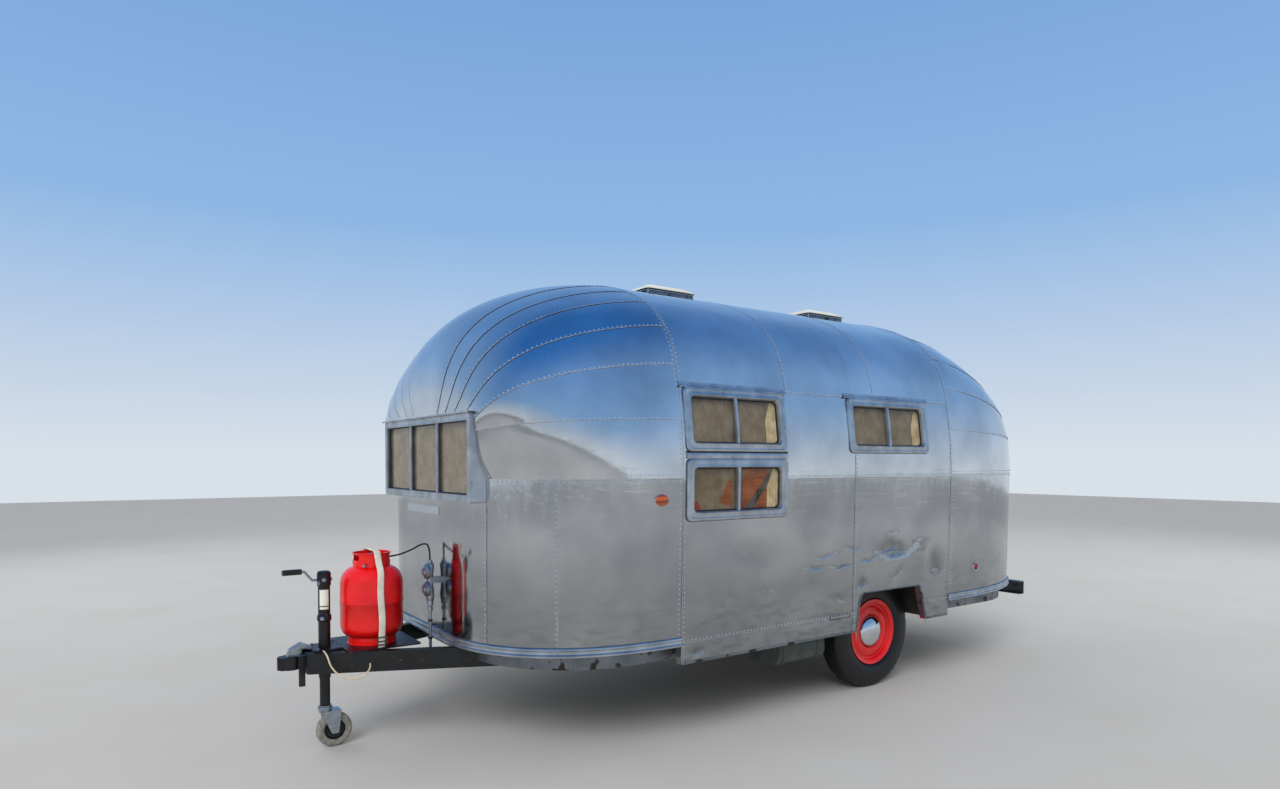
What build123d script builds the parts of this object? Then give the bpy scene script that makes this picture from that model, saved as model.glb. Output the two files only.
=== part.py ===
from build123d import *
import math
import os

os.makedirs("parts", exist_ok=True)

# All sizes are millimetres. The hitch points towards -Y, the left side is +X and Z is up.
# Lengths along the caravan are given from the axle, minus ahead of it and plus behind it.
coupler_nose = -3340
front_ring = -1682
rear_ring = 535
nose_depth = 913
tail_depth = 1340
bumper_depth = 60
bumper_gap = 15
bumper_back = rear_ring + tail_depth + bumper_gap + bumper_depth
axle_y = -(coupler_nose + bumper_back) / 2


def from_axle(distance):
    return axle_y + distance


front_ring_y = from_axle(front_ring)
rear_ring_y = from_axle(rear_ring)
nose_y = front_ring_y - nose_depth
tail_y = rear_ring_y + tail_depth
coupler_nose_y = from_axle(coupler_nose)
bumper_back_y = from_axle(bumper_back)

# Cross-section of the body at the two ring frames: side, corner and crown arcs over a skirt
half_width = 1073
skirt_lean = 18
skirt_half_width = half_width - skirt_lean
belt_z = 1352
skirt_z = 425
rail_z = 518
side_arc_r = 2459
side_arc_deg = 13.2
corner_arc_r = 553
corner_end_deg = 61.9
crown_deg = 90
wall_t = 38
wall_top_z = 1812
floor_t = 50
belly_t = 85

# Reach of the blocks that trim a piece to one side or one height
reach = 3000


# Centre, radius and angle limits of the three arcs, offset inwards
def section_arcs(inset):
    a = math.radians(side_arc_deg)
    b = math.radians(corner_end_deg)
    side_c = (half_width - side_arc_r, belt_z)
    joint = (side_c[0] + side_arc_r * math.cos(a), side_c[1] + side_arc_r * math.sin(a))
    corner_c = (joint[0] - corner_arc_r * math.cos(a), joint[1] - corner_arc_r * math.sin(a))
    crown_r = corner_arc_r + corner_c[0] / math.cos(b)
    crown_c = (0, corner_c[1] - corner_c[0] * math.tan(b))
    return (
        (side_c, side_arc_r - inset, 0, side_arc_deg),
        (corner_c, corner_arc_r - inset, side_arc_deg, corner_end_deg),
        (crown_c, crown_r - inset, corner_end_deg, crown_deg),
    )


def arc_point(arc, degrees):
    centre, radius, _, _ = arc
    angle = math.radians(degrees)
    return (centre[0] + radius * math.cos(angle), centre[1] + radius * math.sin(angle))


# Point of the ring outline at an angle, on whichever arc holds that angle
def ring_point(degrees, inset):
    arc = next(row for row in section_arcs(inset) if degrees <= row[3])
    return arc_point(arc, degrees)


roof_z = ring_point(crown_deg, 0)[1]

# Seams of the domes: the angle of each seam at the ring frame and its end on the flat nose
seam_columns = ("degrees", "nose_x", "nose_z")
seam_table = (
    (0.0, 250, belt_z),
    (6.7, 250, 1552),
    (13.2, 243, 1565),
    (36.2, 218, 1572),
    (59.2, 175, 1578),
    (67.9, 120, 1583),
    (75.0, 62, 1587),
    (crown_deg, 0, 1589),
)
seams = [dict(zip(seam_columns, row)) for row in seam_table]

# How each end closes in, as power and roundness: in plan at the belt and in the dome, which
# takes over within blend seams, and downwards at the belt and at the crown
end_columns = ("ring_y", "depth", "direction", "plan_belt", "plan_dome", "blend", "drop_belt", "drop_crown")
end_table = {
    "front": (front_ring_y, nose_depth, -1, (2.4, 2.45), (1.2, 8.2), 2, (1.3, 2.8), (1.63, 3.54)),
    "rear": (rear_ring_y, tail_depth, 1, (2.6, 2.6), (2.2, 2.2), 7, (1.5, 1.5), (1.5, 1.5)),
}
ends = {name: dict(zip(end_columns, row)) for name, row in end_table.items()}
nose_bulge = 0.04
station_degrees = (0, 16, 32, 46, 58, 69, 77, 84)
stations = [math.sin(math.radians(degrees)) for degrees in station_degrees]


def mix(low, high, share):
    return [a + (b - a) * share for a, b in zip(low, high)]


# Share of the way from the ring outline to the nose outline at depth share u
def swell(u, powers):
    power, roundness = powers
    return 1 - (1 - u**power) ** (1 / roundness)


# Place, ring point and nose point of each seam and of the middle of each gore
def seam_rows(inset):
    rows = []
    for i, seam in enumerate(seams):
        nose = (
            seam["nose_x"] - inset if seam["nose_x"] else 0,
            seam["nose_z"] - inset if i else seam["nose_z"],
        )
        if i:
            before = rows[-1][2]
            chord = (nose[0] - before[0], nose[1] - before[1])
            middle = (
                (nose[0] + before[0]) / 2 + nose_bulge * chord[1],
                (nose[1] + before[1]) / 2 - nose_bulge * chord[0],
            )
            middle_degrees = (seam["degrees"] + seams[i - 1]["degrees"]) / 2
            rows.append((i - 0.5, ring_point(middle_degrees, inset), middle))
        rows.append((i, ring_point(seam["degrees"], inset), nose))
    return rows


# Half outline of an end at depth share u, from the belt to the crown
def dome_outline(end, u, inset):
    points = []
    for place, ring, nose in seam_rows(inset):
        plan = mix(end["plan_belt"], end["plan_dome"], min(1, place / end["blend"]))
        drop = mix(end["drop_belt"], end["drop_crown"], place / (len(seams) - 1))
        x = ring[0] + (nose[0] - ring[0]) * swell(u, plan)
        z = ring[1] + (nose[1] - ring[1]) * swell(u, drop)
        points.append((x, z))
    return points


def skirt_x(end, u, inset):
    ring = skirt_half_width - inset
    nose = seams[0]["nose_x"] * skirt_half_width / half_width - inset
    return ring + (nose - ring) * swell(u, end["plan_belt"])


# Closed outline of the lower pan or of the dome of an end, on the plane at y
def end_section(end, u, inset, y, upper):
    points = dome_outline(end, u, inset)
    if not upper:
        belt_x = points[0][0]
        low_x = skirt_x(end, u, inset)
        corners = ((-belt_x, y, belt_z), (belt_x, y, belt_z), (low_x, y, rail_z), (-low_x, y, rail_z))
        return Wire.make_polygon(corners, close=True)
    right = [(x, y, z) for x, z in points]
    left = [(-x, y, z) for x, z in points]
    gores_up = [right[i : i + 3] for i in range(0, len(right) - 3, 2)]
    gores_down = [left[i : i + 3][::-1] for i in range(0, len(left) - 3, 2)][::-1]
    edges = [Edge.make_line(left[0], right[0])]
    edges += [Edge.make_three_point_arc(*gore) for gore in gores_up]
    edges.append(Edge.make_three_point_arc(right[-3], right[-1], left[-3]))
    edges += [Edge.make_three_point_arc(*gore) for gore in gores_down]
    return Wire(edges)


# Solid inside the lower pan or the dome of an end, from its ring frame to its nose
def end_body(name, inset, upper):
    end = ends[name]
    sections = []
    for u in stations:
        y = end["ring_y"] + end["direction"] * (end["depth"] - inset) * u / stations[-1]
        sections.append(end_section(end, u, inset, y, upper))
    return Solid.make_loft(sections)


# Solid inside the straight middle of the body, between the ring frames
def middle_body(inset):
    arcs = section_arcs(inset)
    low_x = skirt_half_width - inset
    with BuildPart(mode=Mode.PRIVATE) as body:
        with BuildSketch(Plane.XZ.offset(-front_ring_y)):
            with BuildLine():
                Line((-low_x, skirt_z), (low_x, skirt_z))
                for side in (1, -1):
                    start = arc_point(arcs[0], 0)
                    Line((side * low_x, skirt_z), (side * start[0], start[1]))
                    for arc in arcs[:2]:
                        low = arc_point(arc, arc[2])
                        middle = arc_point(arc, (arc[2] + arc[3]) / 2)
                        high = arc_point(arc, arc[3])
                        ThreePointArc(
                            (side * low[0], low[1]),
                            (side * middle[0], middle[1]),
                            (side * high[0], high[1]),
                        )
                edge = arc_point(arcs[2], arcs[2][2])
                top = arc_point(arcs[2], crown_deg)
                ThreePointArc(edge, (0, top[1]), (-edge[0], edge[1]))
            make_face()
        extrude(amount=-(rear_ring_y - front_ring_y))
    return body.part


middle_outer = middle_body(0)
middle_inner = middle_body(wall_t)
middle_shell = middle_outer - middle_inner


def save(builder, label):
    builder.part.label = label
    export_step(builder.part, "parts/" + label + ".step")


# Box between two corners
def slab(low, high):
    size = [high[i] - low[i] for i in range(3)]
    middle = [(high[i] + low[i]) / 2 for i in range(3)]
    return Pos(*middle) * Box(*size, mode=Mode.PRIVATE)


# Window openings: side, edges along the body and heights
open_columns = ("side", "front", "rear", "sill", "head")
open_table = {
    "left_front_low": (1, -1662, -967, 1137, 1448),
    "left_front_high": (1, -1662, -967, 1483, 1805),
    "left_rear": (1, -452, 293, 1483, 1805),
    "right_front": (-1, -1640, -1235, 1483, 1805),
    "right_rear": (-1, -452, 293, 1483, 1805),
}
openings = {name: dict(zip(open_columns, row)) for name, row in open_table.items()}
left_windows = ("left_front_low", "left_front_high", "left_rear")
right_windows = ("right_front", "right_rear")
frame_width = 46
frame_proud = 16
frame_depth = 42
frame_seat = 8
frame_corner_r = 28
mullion_width = 16
glass_t = 4
glass_back = 16
glass_tuck = 6

# The entrance door and its window
door = dict(side=-1, front=-1130, rear=-500, sill=545, head=2040)
door_window = dict(side=-1, front=-980, rear=-650, sill=1330, head=1740)
door_gap = 8
door_corner_r = 90
door_skin_t = 10
door_rebate = 12

# The windows in the nose and the tail: half width and how far each stands out of the shell
end_windows = {"front": dict(half=647, proud=18), "rear": dict(half=470, proud=22)}
end_sill_z = 1236
end_head_z = 1668
end_corner_r = 14
end_seat = 10


# Block with rounded corners that passes through one side wall
def side_block(opening, margin, radius):
    width = opening["rear"] - opening["front"] - 2 * margin
    height = opening["head"] - opening["sill"] - 2 * margin
    middle = (from_axle((opening["front"] + opening["rear"]) / 2), (opening["sill"] + opening["head"]) / 2)
    with BuildPart(mode=Mode.PRIVATE) as block:
        with BuildSketch(Plane.YZ.offset(opening["side"] * half_width / 2)):
            with Locations(middle):
                RectangleRounded(width, height, radius)
        extrude(amount=opening["side"] * half_width)
    return block.part


# Block with rounded corners that passes through the nose or the tail
def end_block(name, y_low, y_high, margin):
    width = 2 * (end_windows[name]["half"] - margin)
    height = end_head_z - end_sill_z - 2 * margin
    with BuildPart(mode=Mode.PRIVATE) as block:
        with BuildSketch(Plane.XZ.offset(-y_low)):
            with Locations((0, (end_sill_z + end_head_z) / 2)):
                RectangleRounded(width, height, end_corner_r)
        extrude(amount=-(y_high - y_low))
    return block.part


# Wheel arches, cut through both walls
arch_front = -370
arch_rear = 310
arch_top_z = 650
arch_front_lean = 30
arch_rear_lean = 75
arch_corner_r = 45
arch_foot_z = skirt_z - frame_width
with BuildPart() as arch_cut:
    with BuildSketch(Plane.YZ.offset(-reach / 2)):
        Polygon(
            (from_axle(arch_front), arch_foot_z),
            (from_axle(arch_rear), arch_foot_z),
            (from_axle(arch_rear - arch_rear_lean), arch_top_z),
            (from_axle(arch_front + arch_front_lean), arch_top_z),
            align=None,
        )
        fillet(vertices().sort_by(Axis.Z)[-2:], arch_corner_r)
    extrude(amount=reach)

# Side walls and roof
vent_table = (("front", -1080), ("rear", 330))
vent_half = 178
vent_curb_t = 14
vent_curb_high = 34
vent_curb_deep = 70
vent_curb_z = roof_z + vent_curb_high
door_hole = side_block(door, 0, door_corner_r)

with BuildPart() as left_wall:
    add(middle_shell & slab((0, -reach, 0), (reach, reach, wall_top_z)))
    add(arch_cut.part, mode=Mode.SUBTRACT)
    for key in left_windows:
        add(side_block(openings[key], frame_seat, frame_corner_r), mode=Mode.SUBTRACT)
save(left_wall, "left_wall")

with BuildPart() as right_wall:
    add(middle_shell & slab((-reach, -reach, 0), (0, reach, wall_top_z)))
    add(arch_cut.part, mode=Mode.SUBTRACT)
    add(door_hole, mode=Mode.SUBTRACT)
    for key in right_windows:
        add(side_block(openings[key], frame_seat, frame_corner_r), mode=Mode.SUBTRACT)
save(right_wall, "right_wall")

with BuildPart() as roof:
    add(middle_shell & slab((-reach, -reach, wall_top_z), (reach, reach, reach)))
    add(door_hole, mode=Mode.SUBTRACT)
    for _, vent_y in vent_table:
        with Locations((0, from_axle(vent_y), roof_z)):
            Box(2 * vent_half, 2 * vent_half, 4 * vent_curb_deep, mode=Mode.SUBTRACT)
save(roof, "roof")

# The door is rebated: its skin covers the opening and its core stands back from the frame
with BuildPart() as door_leaf:
    skin_inner = middle_body(door_skin_t)
    core_gap = door_gap + door_rebate
    add((middle_outer - skin_inner) & side_block(door, door_gap, door_corner_r - door_gap))
    add((skin_inner - middle_inner) & side_block(door, core_gap, door_corner_r - core_gap))
    add(side_block(door_window, 0, frame_corner_r), mode=Mode.SUBTRACT)
save(door_leaf, "door")

# Hinge knuckles on the straight part of the wall, and the flush paddle handle
hinge_x = -(half_width + frame_proud - 7)
hinge_y = from_axle(door["front"]) + door_gap / 2
hinge_knuckle_r = 6
hinge_leaf_long = 44
hinge_leaf_gap = 3
hinge_high = 90
hinge_heights = (700, 1240)
with BuildPart() as hinges:
    for z in hinge_heights:
        with BuildSketch(Plane.XY.offset(z)):
            with Locations((hinge_x, hinge_y)):
                Circle(hinge_knuckle_r)
        extrude(amount=hinge_high)
        leaf_low = (hinge_x - hinge_knuckle_r / 2, hinge_y - hinge_leaf_long, z)
        leaf_high = (-skirt_half_width / 2, hinge_y - hinge_leaf_gap, z + hinge_high)
        add(slab(leaf_low, leaf_high) - middle_outer)
save(hinges, "door_hinges")

handle_y = from_axle(door["rear"] - 70)
handle_z = 1080
handle_plate = (52, 130)
handle_grip = (26, 96)
handle_plate_proud = 6
handle_grip_proud = 20
handle_wall_x = skirt_half_width + (half_width - skirt_half_width) * (handle_z - skirt_z) / (belt_z - skirt_z)
with BuildPart() as handle:
    for size, proud in ((handle_plate, handle_plate_proud), (handle_grip, handle_grip_proud)):
        with BuildSketch(Plane.YZ.offset(-handle_wall_x + wall_t / 2)):
            with Locations((handle_y, handle_z)):
                RectangleRounded(size[0], size[1], size[0] / 4)
        extrude(amount=-(proud + wall_t / 2))
    add(middle_outer, mode=Mode.SUBTRACT)
save(handle, "door_handle")

# End shells: each a lower pan of plain panels under a dome of gores
end_shells = {}
for name, end in ends.items():
    window_y = nose_y if name == "front" else tail_y
    cut = end_block(name, window_y - end["depth"] / 2, window_y + end["depth"] / 2, end_seat)
    for level, upper in (("lower", False), ("dome", True)):
        with BuildPart() as shell:
            add(end_body(name, 0, upper))
            add(end_body(name, wall_t, upper), mode=Mode.SUBTRACT)
            add(cut, mode=Mode.SUBTRACT)
        save(shell, name + "_" + level)
        end_shells[name + "_" + level] = shell.part

# Rub mouldings round both ends
moulding_proud = 16
moulding_high = 46
for name in ends:
    with BuildPart() as moulding:
        add(end_body(name, -moulding_proud, False))
        above = slab((-reach, -reach, rail_z + moulding_high), (reach, reach, reach))
        add(above, mode=Mode.SUBTRACT)
        add(end_body(name, 0, False), mode=Mode.SUBTRACT)
    save(moulding, name + "_moulding")

# Side windows: a frame that overlaps the wall, a centre bar and a drip cap each, and panes
drip_flange_t = 4
drip_flange_high = 22
drip_shelf_t = 3
drip_reach = 15
drip_over = 22
frame_outer = middle_body(-frame_proud)
frame_inner = middle_body(frame_depth - frame_proud)
drip_outer = middle_body(-drip_reach)
drip_flange_outer = middle_body(-drip_flange_t)
pane_band = middle_body(glass_back) - middle_body(glass_back + glass_t)


# Stretch of the wall's height range across one opening, widened along the body
def strip(opening, over, low_z, high_z):
    side_x = sorted((0, opening["side"] * reach))
    low = (side_x[0], from_axle(opening["front"] - over), low_z)
    high = (side_x[1], from_axle(opening["rear"] + over), high_z)
    return slab(low, high)


with BuildPart() as drips:
    for key, opening in openings.items():
        if key.endswith("low"):
            continue
        flange_z = opening["head"] + drip_shelf_t
        add((drip_flange_outer - middle_outer) & strip(opening, drip_over, flange_z, flange_z + drip_flange_high))
        add((drip_outer - middle_outer) & strip(opening, drip_over, opening["head"], flange_z))
save(drips, "drip_caps")

for side_name, keys in (("left", left_windows), ("right", right_windows)):
    with BuildPart() as frames:
        for key in keys:
            opening = openings[key]
            hole = side_block(opening, frame_width, frame_corner_r)
            add((frame_outer - middle_outer) & (side_block(opening, 0, frame_corner_r) - hole))
            add((middle_outer - frame_inner) & (side_block(opening, frame_seat, frame_corner_r) - hole))
            middle = (opening["front"] + opening["rear"]) / 2
            bar = dict(opening, front=middle - mullion_width / 2, rear=middle + mullion_width / 2)
            bar_low = opening["sill"] + frame_width
            bar_high = opening["head"] - frame_width
            add((middle_outer - frame_inner) & strip(bar, 0, bar_low, bar_high))
    save(frames, side_name + "_window_frames")
    with BuildPart() as panes:
        for key in keys:
            add(side_block(openings[key], frame_width - glass_tuck, frame_corner_r) & pane_band)
        add(frames.part, mode=Mode.SUBTRACT)
    save(panes, side_name + "_glass")

with BuildPart() as door_pane:
    add(side_block(door_window, -glass_tuck, frame_corner_r) & pane_band)
    add(door_leaf.part, mode=Mode.SUBTRACT)
save(door_pane, "door_glass")

# Nose and tail windows: deep flat frames with two bars, a drip cap each, and one row of panes
end_frame_depth = 150
end_frame_width = 38
end_bar_deep = 40
end_glass_back = 20
end_drip_over = 14
for name, end in ends.items():
    window = end_windows[name]
    inward = -end["direction"]
    face_y = (nose_y if name == "front" else tail_y) - inward * window["proud"]
    near, far = sorted((face_y, face_y + inward * end_frame_depth))
    with BuildPart() as frame:
        add(end_block(name, near, far, 0))
        add(end_block(name, near - glass_t, far + glass_t, end_frame_width), mode=Mode.SUBTRACT)
        for share in (-1, 1):
            bar_x = share * (window["half"] - end_frame_width) / 3
            bar_y = sorted((face_y + inward * glass_t, face_y + inward * end_bar_deep))
            bar_low = (bar_x - mullion_width / 2, bar_y[0], end_sill_z + end_frame_width / 2)
            bar_high = (bar_x + mullion_width / 2, bar_y[1], end_head_z - end_frame_width / 2)
            add(slab(bar_low, bar_high))
        drip_half = window["half"] + end_drip_over
        shelf_y = sorted((face_y - inward * drip_reach, face_y + inward * end_frame_depth))
        shelf_low = (-drip_half, shelf_y[0], end_head_z)
        shelf_high = (drip_half, shelf_y[1], end_head_z + drip_shelf_t)
        add(slab(shelf_low, shelf_high))
        for level in ("_lower", "_dome"):
            add(end_shells[name + level], mode=Mode.SUBTRACT)
        trim = end_body(name, wall_t, True)
        add(trim & slab((-reach, -reach, end_head_z), (reach, reach, reach)), mode=Mode.SUBTRACT)
    save(frame, name + "_window_frame")
    glass_y = sorted((face_y + inward * end_glass_back, face_y + inward * (end_glass_back + glass_t)))
    with BuildPart() as pane:
        add(end_block(name, glass_y[0], glass_y[1], end_frame_width - glass_tuck))
        add(frame.part, mode=Mode.SUBTRACT)
    save(pane, name + "_glass")

# Floor and belly pan, open over the wheel boxes
wheel_box_wide = 317
wheel_box_in = skirt_half_width - wall_t - wheel_box_wide
wheel_box_half = 410
wheel_box_top = 780
wheel_box_t = 5
arch_middle = from_axle((arch_front + arch_rear) / 2)
belly_inset = 105
belly_corner_r = 620
belly_low_z = rail_z - belly_t
cabin = middle_inner + end_body("front", wall_t, False) + end_body("rear", wall_t, False)
with BuildPart() as floor:
    add(cabin & slab((-reach, -reach, rail_z), (reach, reach, rail_z + floor_t)))
    with BuildSketch(Plane.XY.offset(belly_low_z)):
        with Locations((0, (nose_y + tail_y) / 2)):
            belly_long = tail_y - nose_y - 2 * belly_inset
            RectangleRounded(2 * (skirt_half_width - belly_inset), belly_long, belly_corner_r)
    extrude(amount=belly_t)
    for side in (-1, 1):
        with Locations((side * (wheel_box_in + half_width) / 2, arch_middle, wheel_box_top / 2)):
            Box(half_width - wheel_box_in, 2 * wheel_box_half, wheel_box_top, mode=Mode.SUBTRACT)
save(floor, "floor")

for label, side in (("left", 1), ("right", -1)):
    box_out = skirt_half_width - wall_t
    with BuildPart() as box:
        box_x = sorted((side * wheel_box_in, side * box_out))
        add(
            slab(
                (box_x[0], arch_middle - wheel_box_half, skirt_z),
                (box_x[1], arch_middle + wheel_box_half, wheel_box_top),
            )
        )
        hollow = sorted((side * (wheel_box_in + wheel_box_t), side * reach))
        add(
            slab(
                (hollow[0], arch_middle - wheel_box_half + wheel_box_t, 0),
                (hollow[1], arch_middle + wheel_box_half - wheel_box_t, wheel_box_top - wheel_box_t),
            ),
            mode=Mode.SUBTRACT,
        )
    save(box, "wheel_box_" + label)

# Wheels: profiles as (distance from the wheel's middle, radius), turned about the axle
tyre_r = 350
tyre_w = 165
tyre_inset = 155
tyre_out_x = skirt_half_width - tyre_inset
wheel_x = tyre_out_x - tyre_w / 2
hub_z = tyre_r
rim_r = 197
rim_flange_r = 207
rim_bead_gap = 0.5
axle_r = 25
spindle_gap = 0.05
wheel_profiles = {
    "tyre": (
        (-55, rim_r + rim_bead_gap),
        (-61, rim_flange_r + 2),
        (-tyre_w / 2, 255),
        (-tyre_w / 2 + 6, 305),
        (-66, 336),
        (-50, tyre_r - 2),
        (0, tyre_r),
        (50, tyre_r - 2),
        (66, 336),
        (tyre_w / 2 - 6, 305),
        (tyre_w / 2, 255),
        (61, rim_flange_r + 2),
        (55, rim_r + rim_bead_gap),
    ),
    "rim": (
        (-60, 180),
        (-68, rim_flange_r),
        (-62, rim_flange_r),
        (-56, rim_r),
        (56, rim_r),
        (62, rim_flange_r),
        (68, rim_flange_r),
        (60, 180),
        (44, 176),
        (40, 168),
        (48, 150),
        (50, 105),
        (30, 90),
        (30, axle_r + spindle_gap),
        (-40, axle_r + spindle_gap),
        (-40, 70),
        (20, 74),
        (26, 150),
        (24, 186),
        (-44, 186),
    ),
    "hub_cap": ((31, 0), (31, 84), (53, 84), (70, 66), (82, 40), (87, 0)),
}


# Solid turned about the axle from a profile drawn beside it
def turned(profile, side):
    with BuildPart(mode=Mode.PRIVATE) as body:
        with BuildSketch(Plane.XZ):
            Polygon(*profile, align=None)
        revolve(axis=Axis.X)
    placed = body.part if side > 0 else body.part.mirror(Plane.YZ)
    return Pos(side * wheel_x, axle_y, hub_z) * placed


for label, side in (("left", 1), ("right", -1)):
    for name, profile in wheel_profiles.items():
        with BuildPart() as piece:
            add(turned(profile, side))
        save(piece, name + "_" + label)

# Axle beam with its spindles, and the leaf springs with their hangers
axle_beam_r = 32
beam_gap = 30
beam_half = tyre_out_x - tyre_w - beam_gap
spindle_over = 28
spindle_half = wheel_x + spindle_over
spring_gap = 80
spring_x = wheel_box_in - spring_gap
spring_half = 400
spring_w = 45
spring_t = 30
spring_end_t = 10
spring_rise = 95
hanger_long = 40
hanger_in = 20
with BuildPart() as axle:
    for radius, half in ((axle_beam_r, beam_half), (axle_r, spindle_half)):
        with BuildSketch(Plane.YZ.offset(-half)):
            with Locations((axle_y, hub_z)):
                Circle(radius)
        extrude(amount=2 * half)
save(axle, "axle")

spring_top = hub_z - axle_beam_r
spring_end_z = spring_top + spring_rise
hanger_low_z = spring_end_z - spring_end_t + 1
with BuildPart() as springs:
    for side in (-1, 1):
        with BuildSketch(Plane.YZ.offset(side * spring_x - spring_w / 2)):
            with BuildLine():
                front_end = axle_y - spring_half
                rear_end = axle_y + spring_half
                upper = ThreePointArc((front_end, spring_end_z), (axle_y, spring_top), (rear_end, spring_end_z))
                lower_z = spring_end_z - spring_end_t
                lower = ThreePointArc(
                    (rear_end, lower_z), (axle_y, spring_top - spring_t), (front_end, lower_z)
                )
                Line(upper @ 1, lower @ 0)
                Line(lower @ 1, upper @ 0)
            make_face()
        extrude(amount=spring_w)
        for way in (-1, 1):
            hanger_y = axle_y + way * (spring_half - hanger_in)
            with Locations((side * spring_x, hanger_y, (hanger_low_z + belly_low_z) / 2)):
                Box(spring_w, hanger_long, belly_low_z - hanger_low_z)
save(springs, "springs")

# Drawbar rails, coupler with its ball socket, and the latch
bar_high = 100
bar_w = 50
bar_top_z = 500
bar_low_z = bar_top_z - bar_high
bar_start_x = 36
bar_end_x = 470
bar_start_y = coupler_nose_y + 120
bar_end_y = nose_y + 330
for label, side in (("left", 1), ("right", -1)):
    with BuildPart() as bar:
        with BuildSketch(Plane.XY.offset(bar_low_z)):
            Polygon(
                (side * bar_start_x, bar_start_y),
                (side * (bar_start_x + bar_w), bar_start_y),
                (side * (bar_end_x + bar_w), bar_end_y),
                (side * bar_end_x, bar_end_y),
                align=None,
            )
        extrude(amount=bar_high)
        add(floor.part, mode=Mode.SUBTRACT)
    save(bar, "drawbar_" + label)

socket_y = coupler_nose_y + 62
ball_r = 25
ball_gap = 0.6
socket_deep = 40
coupler_z = bar_low_z + 20
coupler_high = 62
coupler_dome_r = 44
coupler_dome_drop = 30
coupler_neck = 30
coupler_lip = 12
coupler_back_y = bar_start_y + 50
with BuildPart() as coupler:
    with BuildSketch(Plane.XY.offset(coupler_z)):
        with Locations((0, socket_y)):
            Circle(coupler_dome_r)
        Polygon(
            (-coupler_neck, coupler_nose_y + coupler_lip),
            (coupler_neck, coupler_nose_y + coupler_lip),
            (bar_start_x, bar_start_y),
            (bar_start_x, coupler_back_y),
            (-bar_start_x, coupler_back_y),
            (-bar_start_x, bar_start_y),
            align=None,
        )
        with Locations((0, coupler_nose_y + coupler_neck / 2)):
            Circle(coupler_neck / 2)
    extrude(amount=coupler_high)
    with Locations((0, socket_y, coupler_z + coupler_high - coupler_dome_drop)):
        Sphere(coupler_dome_r, arc_size1=0)
    with BuildSketch(Plane.XY.offset(coupler_z)):
        with Locations((0, socket_y)):
            Circle(ball_r + ball_gap)
    extrude(amount=socket_deep, mode=Mode.SUBTRACT)
save(coupler, "coupler")

latch_half = 16
latch_outline = ((-20, 0), (-8, 34), (46, 62), (92, 40), (84, 24), (44, 36), (30, 0))
with BuildPart() as latch:
    with BuildSketch(Plane.YZ.offset(-latch_half)):
        with Locations((socket_y, coupler_z + coupler_high)):
            Polygon(*latch_outline, align=None)
    extrude(amount=2 * latch_half)
    add(coupler.part, mode=Mode.SUBTRACT)
save(latch, "coupler_latch")

# Jack: a fixed outer tube with its flange and crank, a sliding leg, a swivel fork and a wheel
jack_y = from_axle(-3120)
jack_r = 28.5
jack_bore_gap = 0.5
leg_r = 24.5
jack_top_z = 888
jack_low_z = 355
jack_cap_t = 61
leg_low_z = 214
leg_top_z = 648
flange_size = (176, 130)
flange_t = 10
flange_corner_r = 14
collar_r = 34
collar_z = 640
collar_high = 26
with BuildPart() as jack_tube:
    with BuildSketch(Plane.XY.offset(jack_low_z)):
        with Locations((0, jack_y)):
            Circle(jack_r)
    extrude(amount=jack_top_z - jack_low_z)
    with BuildSketch(Plane.XY.offset(bar_top_z)):
        with Locations((0, jack_y)):
            RectangleRounded(flange_size[0], flange_size[1], flange_corner_r)
    extrude(amount=flange_t)
    with BuildSketch(Plane.XY.offset(collar_z)):
        with Locations((0, jack_y)):
            Circle(collar_r)
    extrude(amount=collar_high)
    with BuildSketch(Plane.XY.offset(jack_low_z)):
        with Locations((0, jack_y)):
            Circle(leg_r + jack_bore_gap)
    extrude(amount=jack_top_z - jack_low_z - jack_cap_t, mode=Mode.SUBTRACT)
save(jack_tube, "jack_tube")

with BuildPart() as leg:
    with BuildSketch(Plane.XY.offset(leg_low_z)):
        with Locations((0, jack_y)):
            Circle(leg_r)
    extrude(amount=leg_top_z - leg_low_z)
save(leg, "jack_leg")

crank_z = jack_top_z - 44
crank_start = jack_y - jack_r - 1
crank_route = ((0, 0), (-27, 0), (-63, 46), (-164, 48))
crank_bend_r = 14
crank_r = 6
grip_r = 13
grip_from = -74
with BuildPart() as crank:
    with BuildLine() as crank_path:
        crank_points = [(0, crank_start + y, crank_z + z) for y, z in crank_route]
        FilletPolyline(*crank_points, radius=crank_bend_r)
    with BuildSketch(Plane(origin=crank_path.line @ 0, z_dir=crank_path.line % 0)):
        Circle(crank_r)
    sweep()
    with BuildSketch(Plane.XZ.offset(-(crank_start + grip_from))):
        with Locations((0, crank_z + crank_route[-1][1] - 1)):
            Circle(grip_r)
    extrude(amount=grip_from - crank_route[-1][0])
save(crank, "jack_crank")

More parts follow.
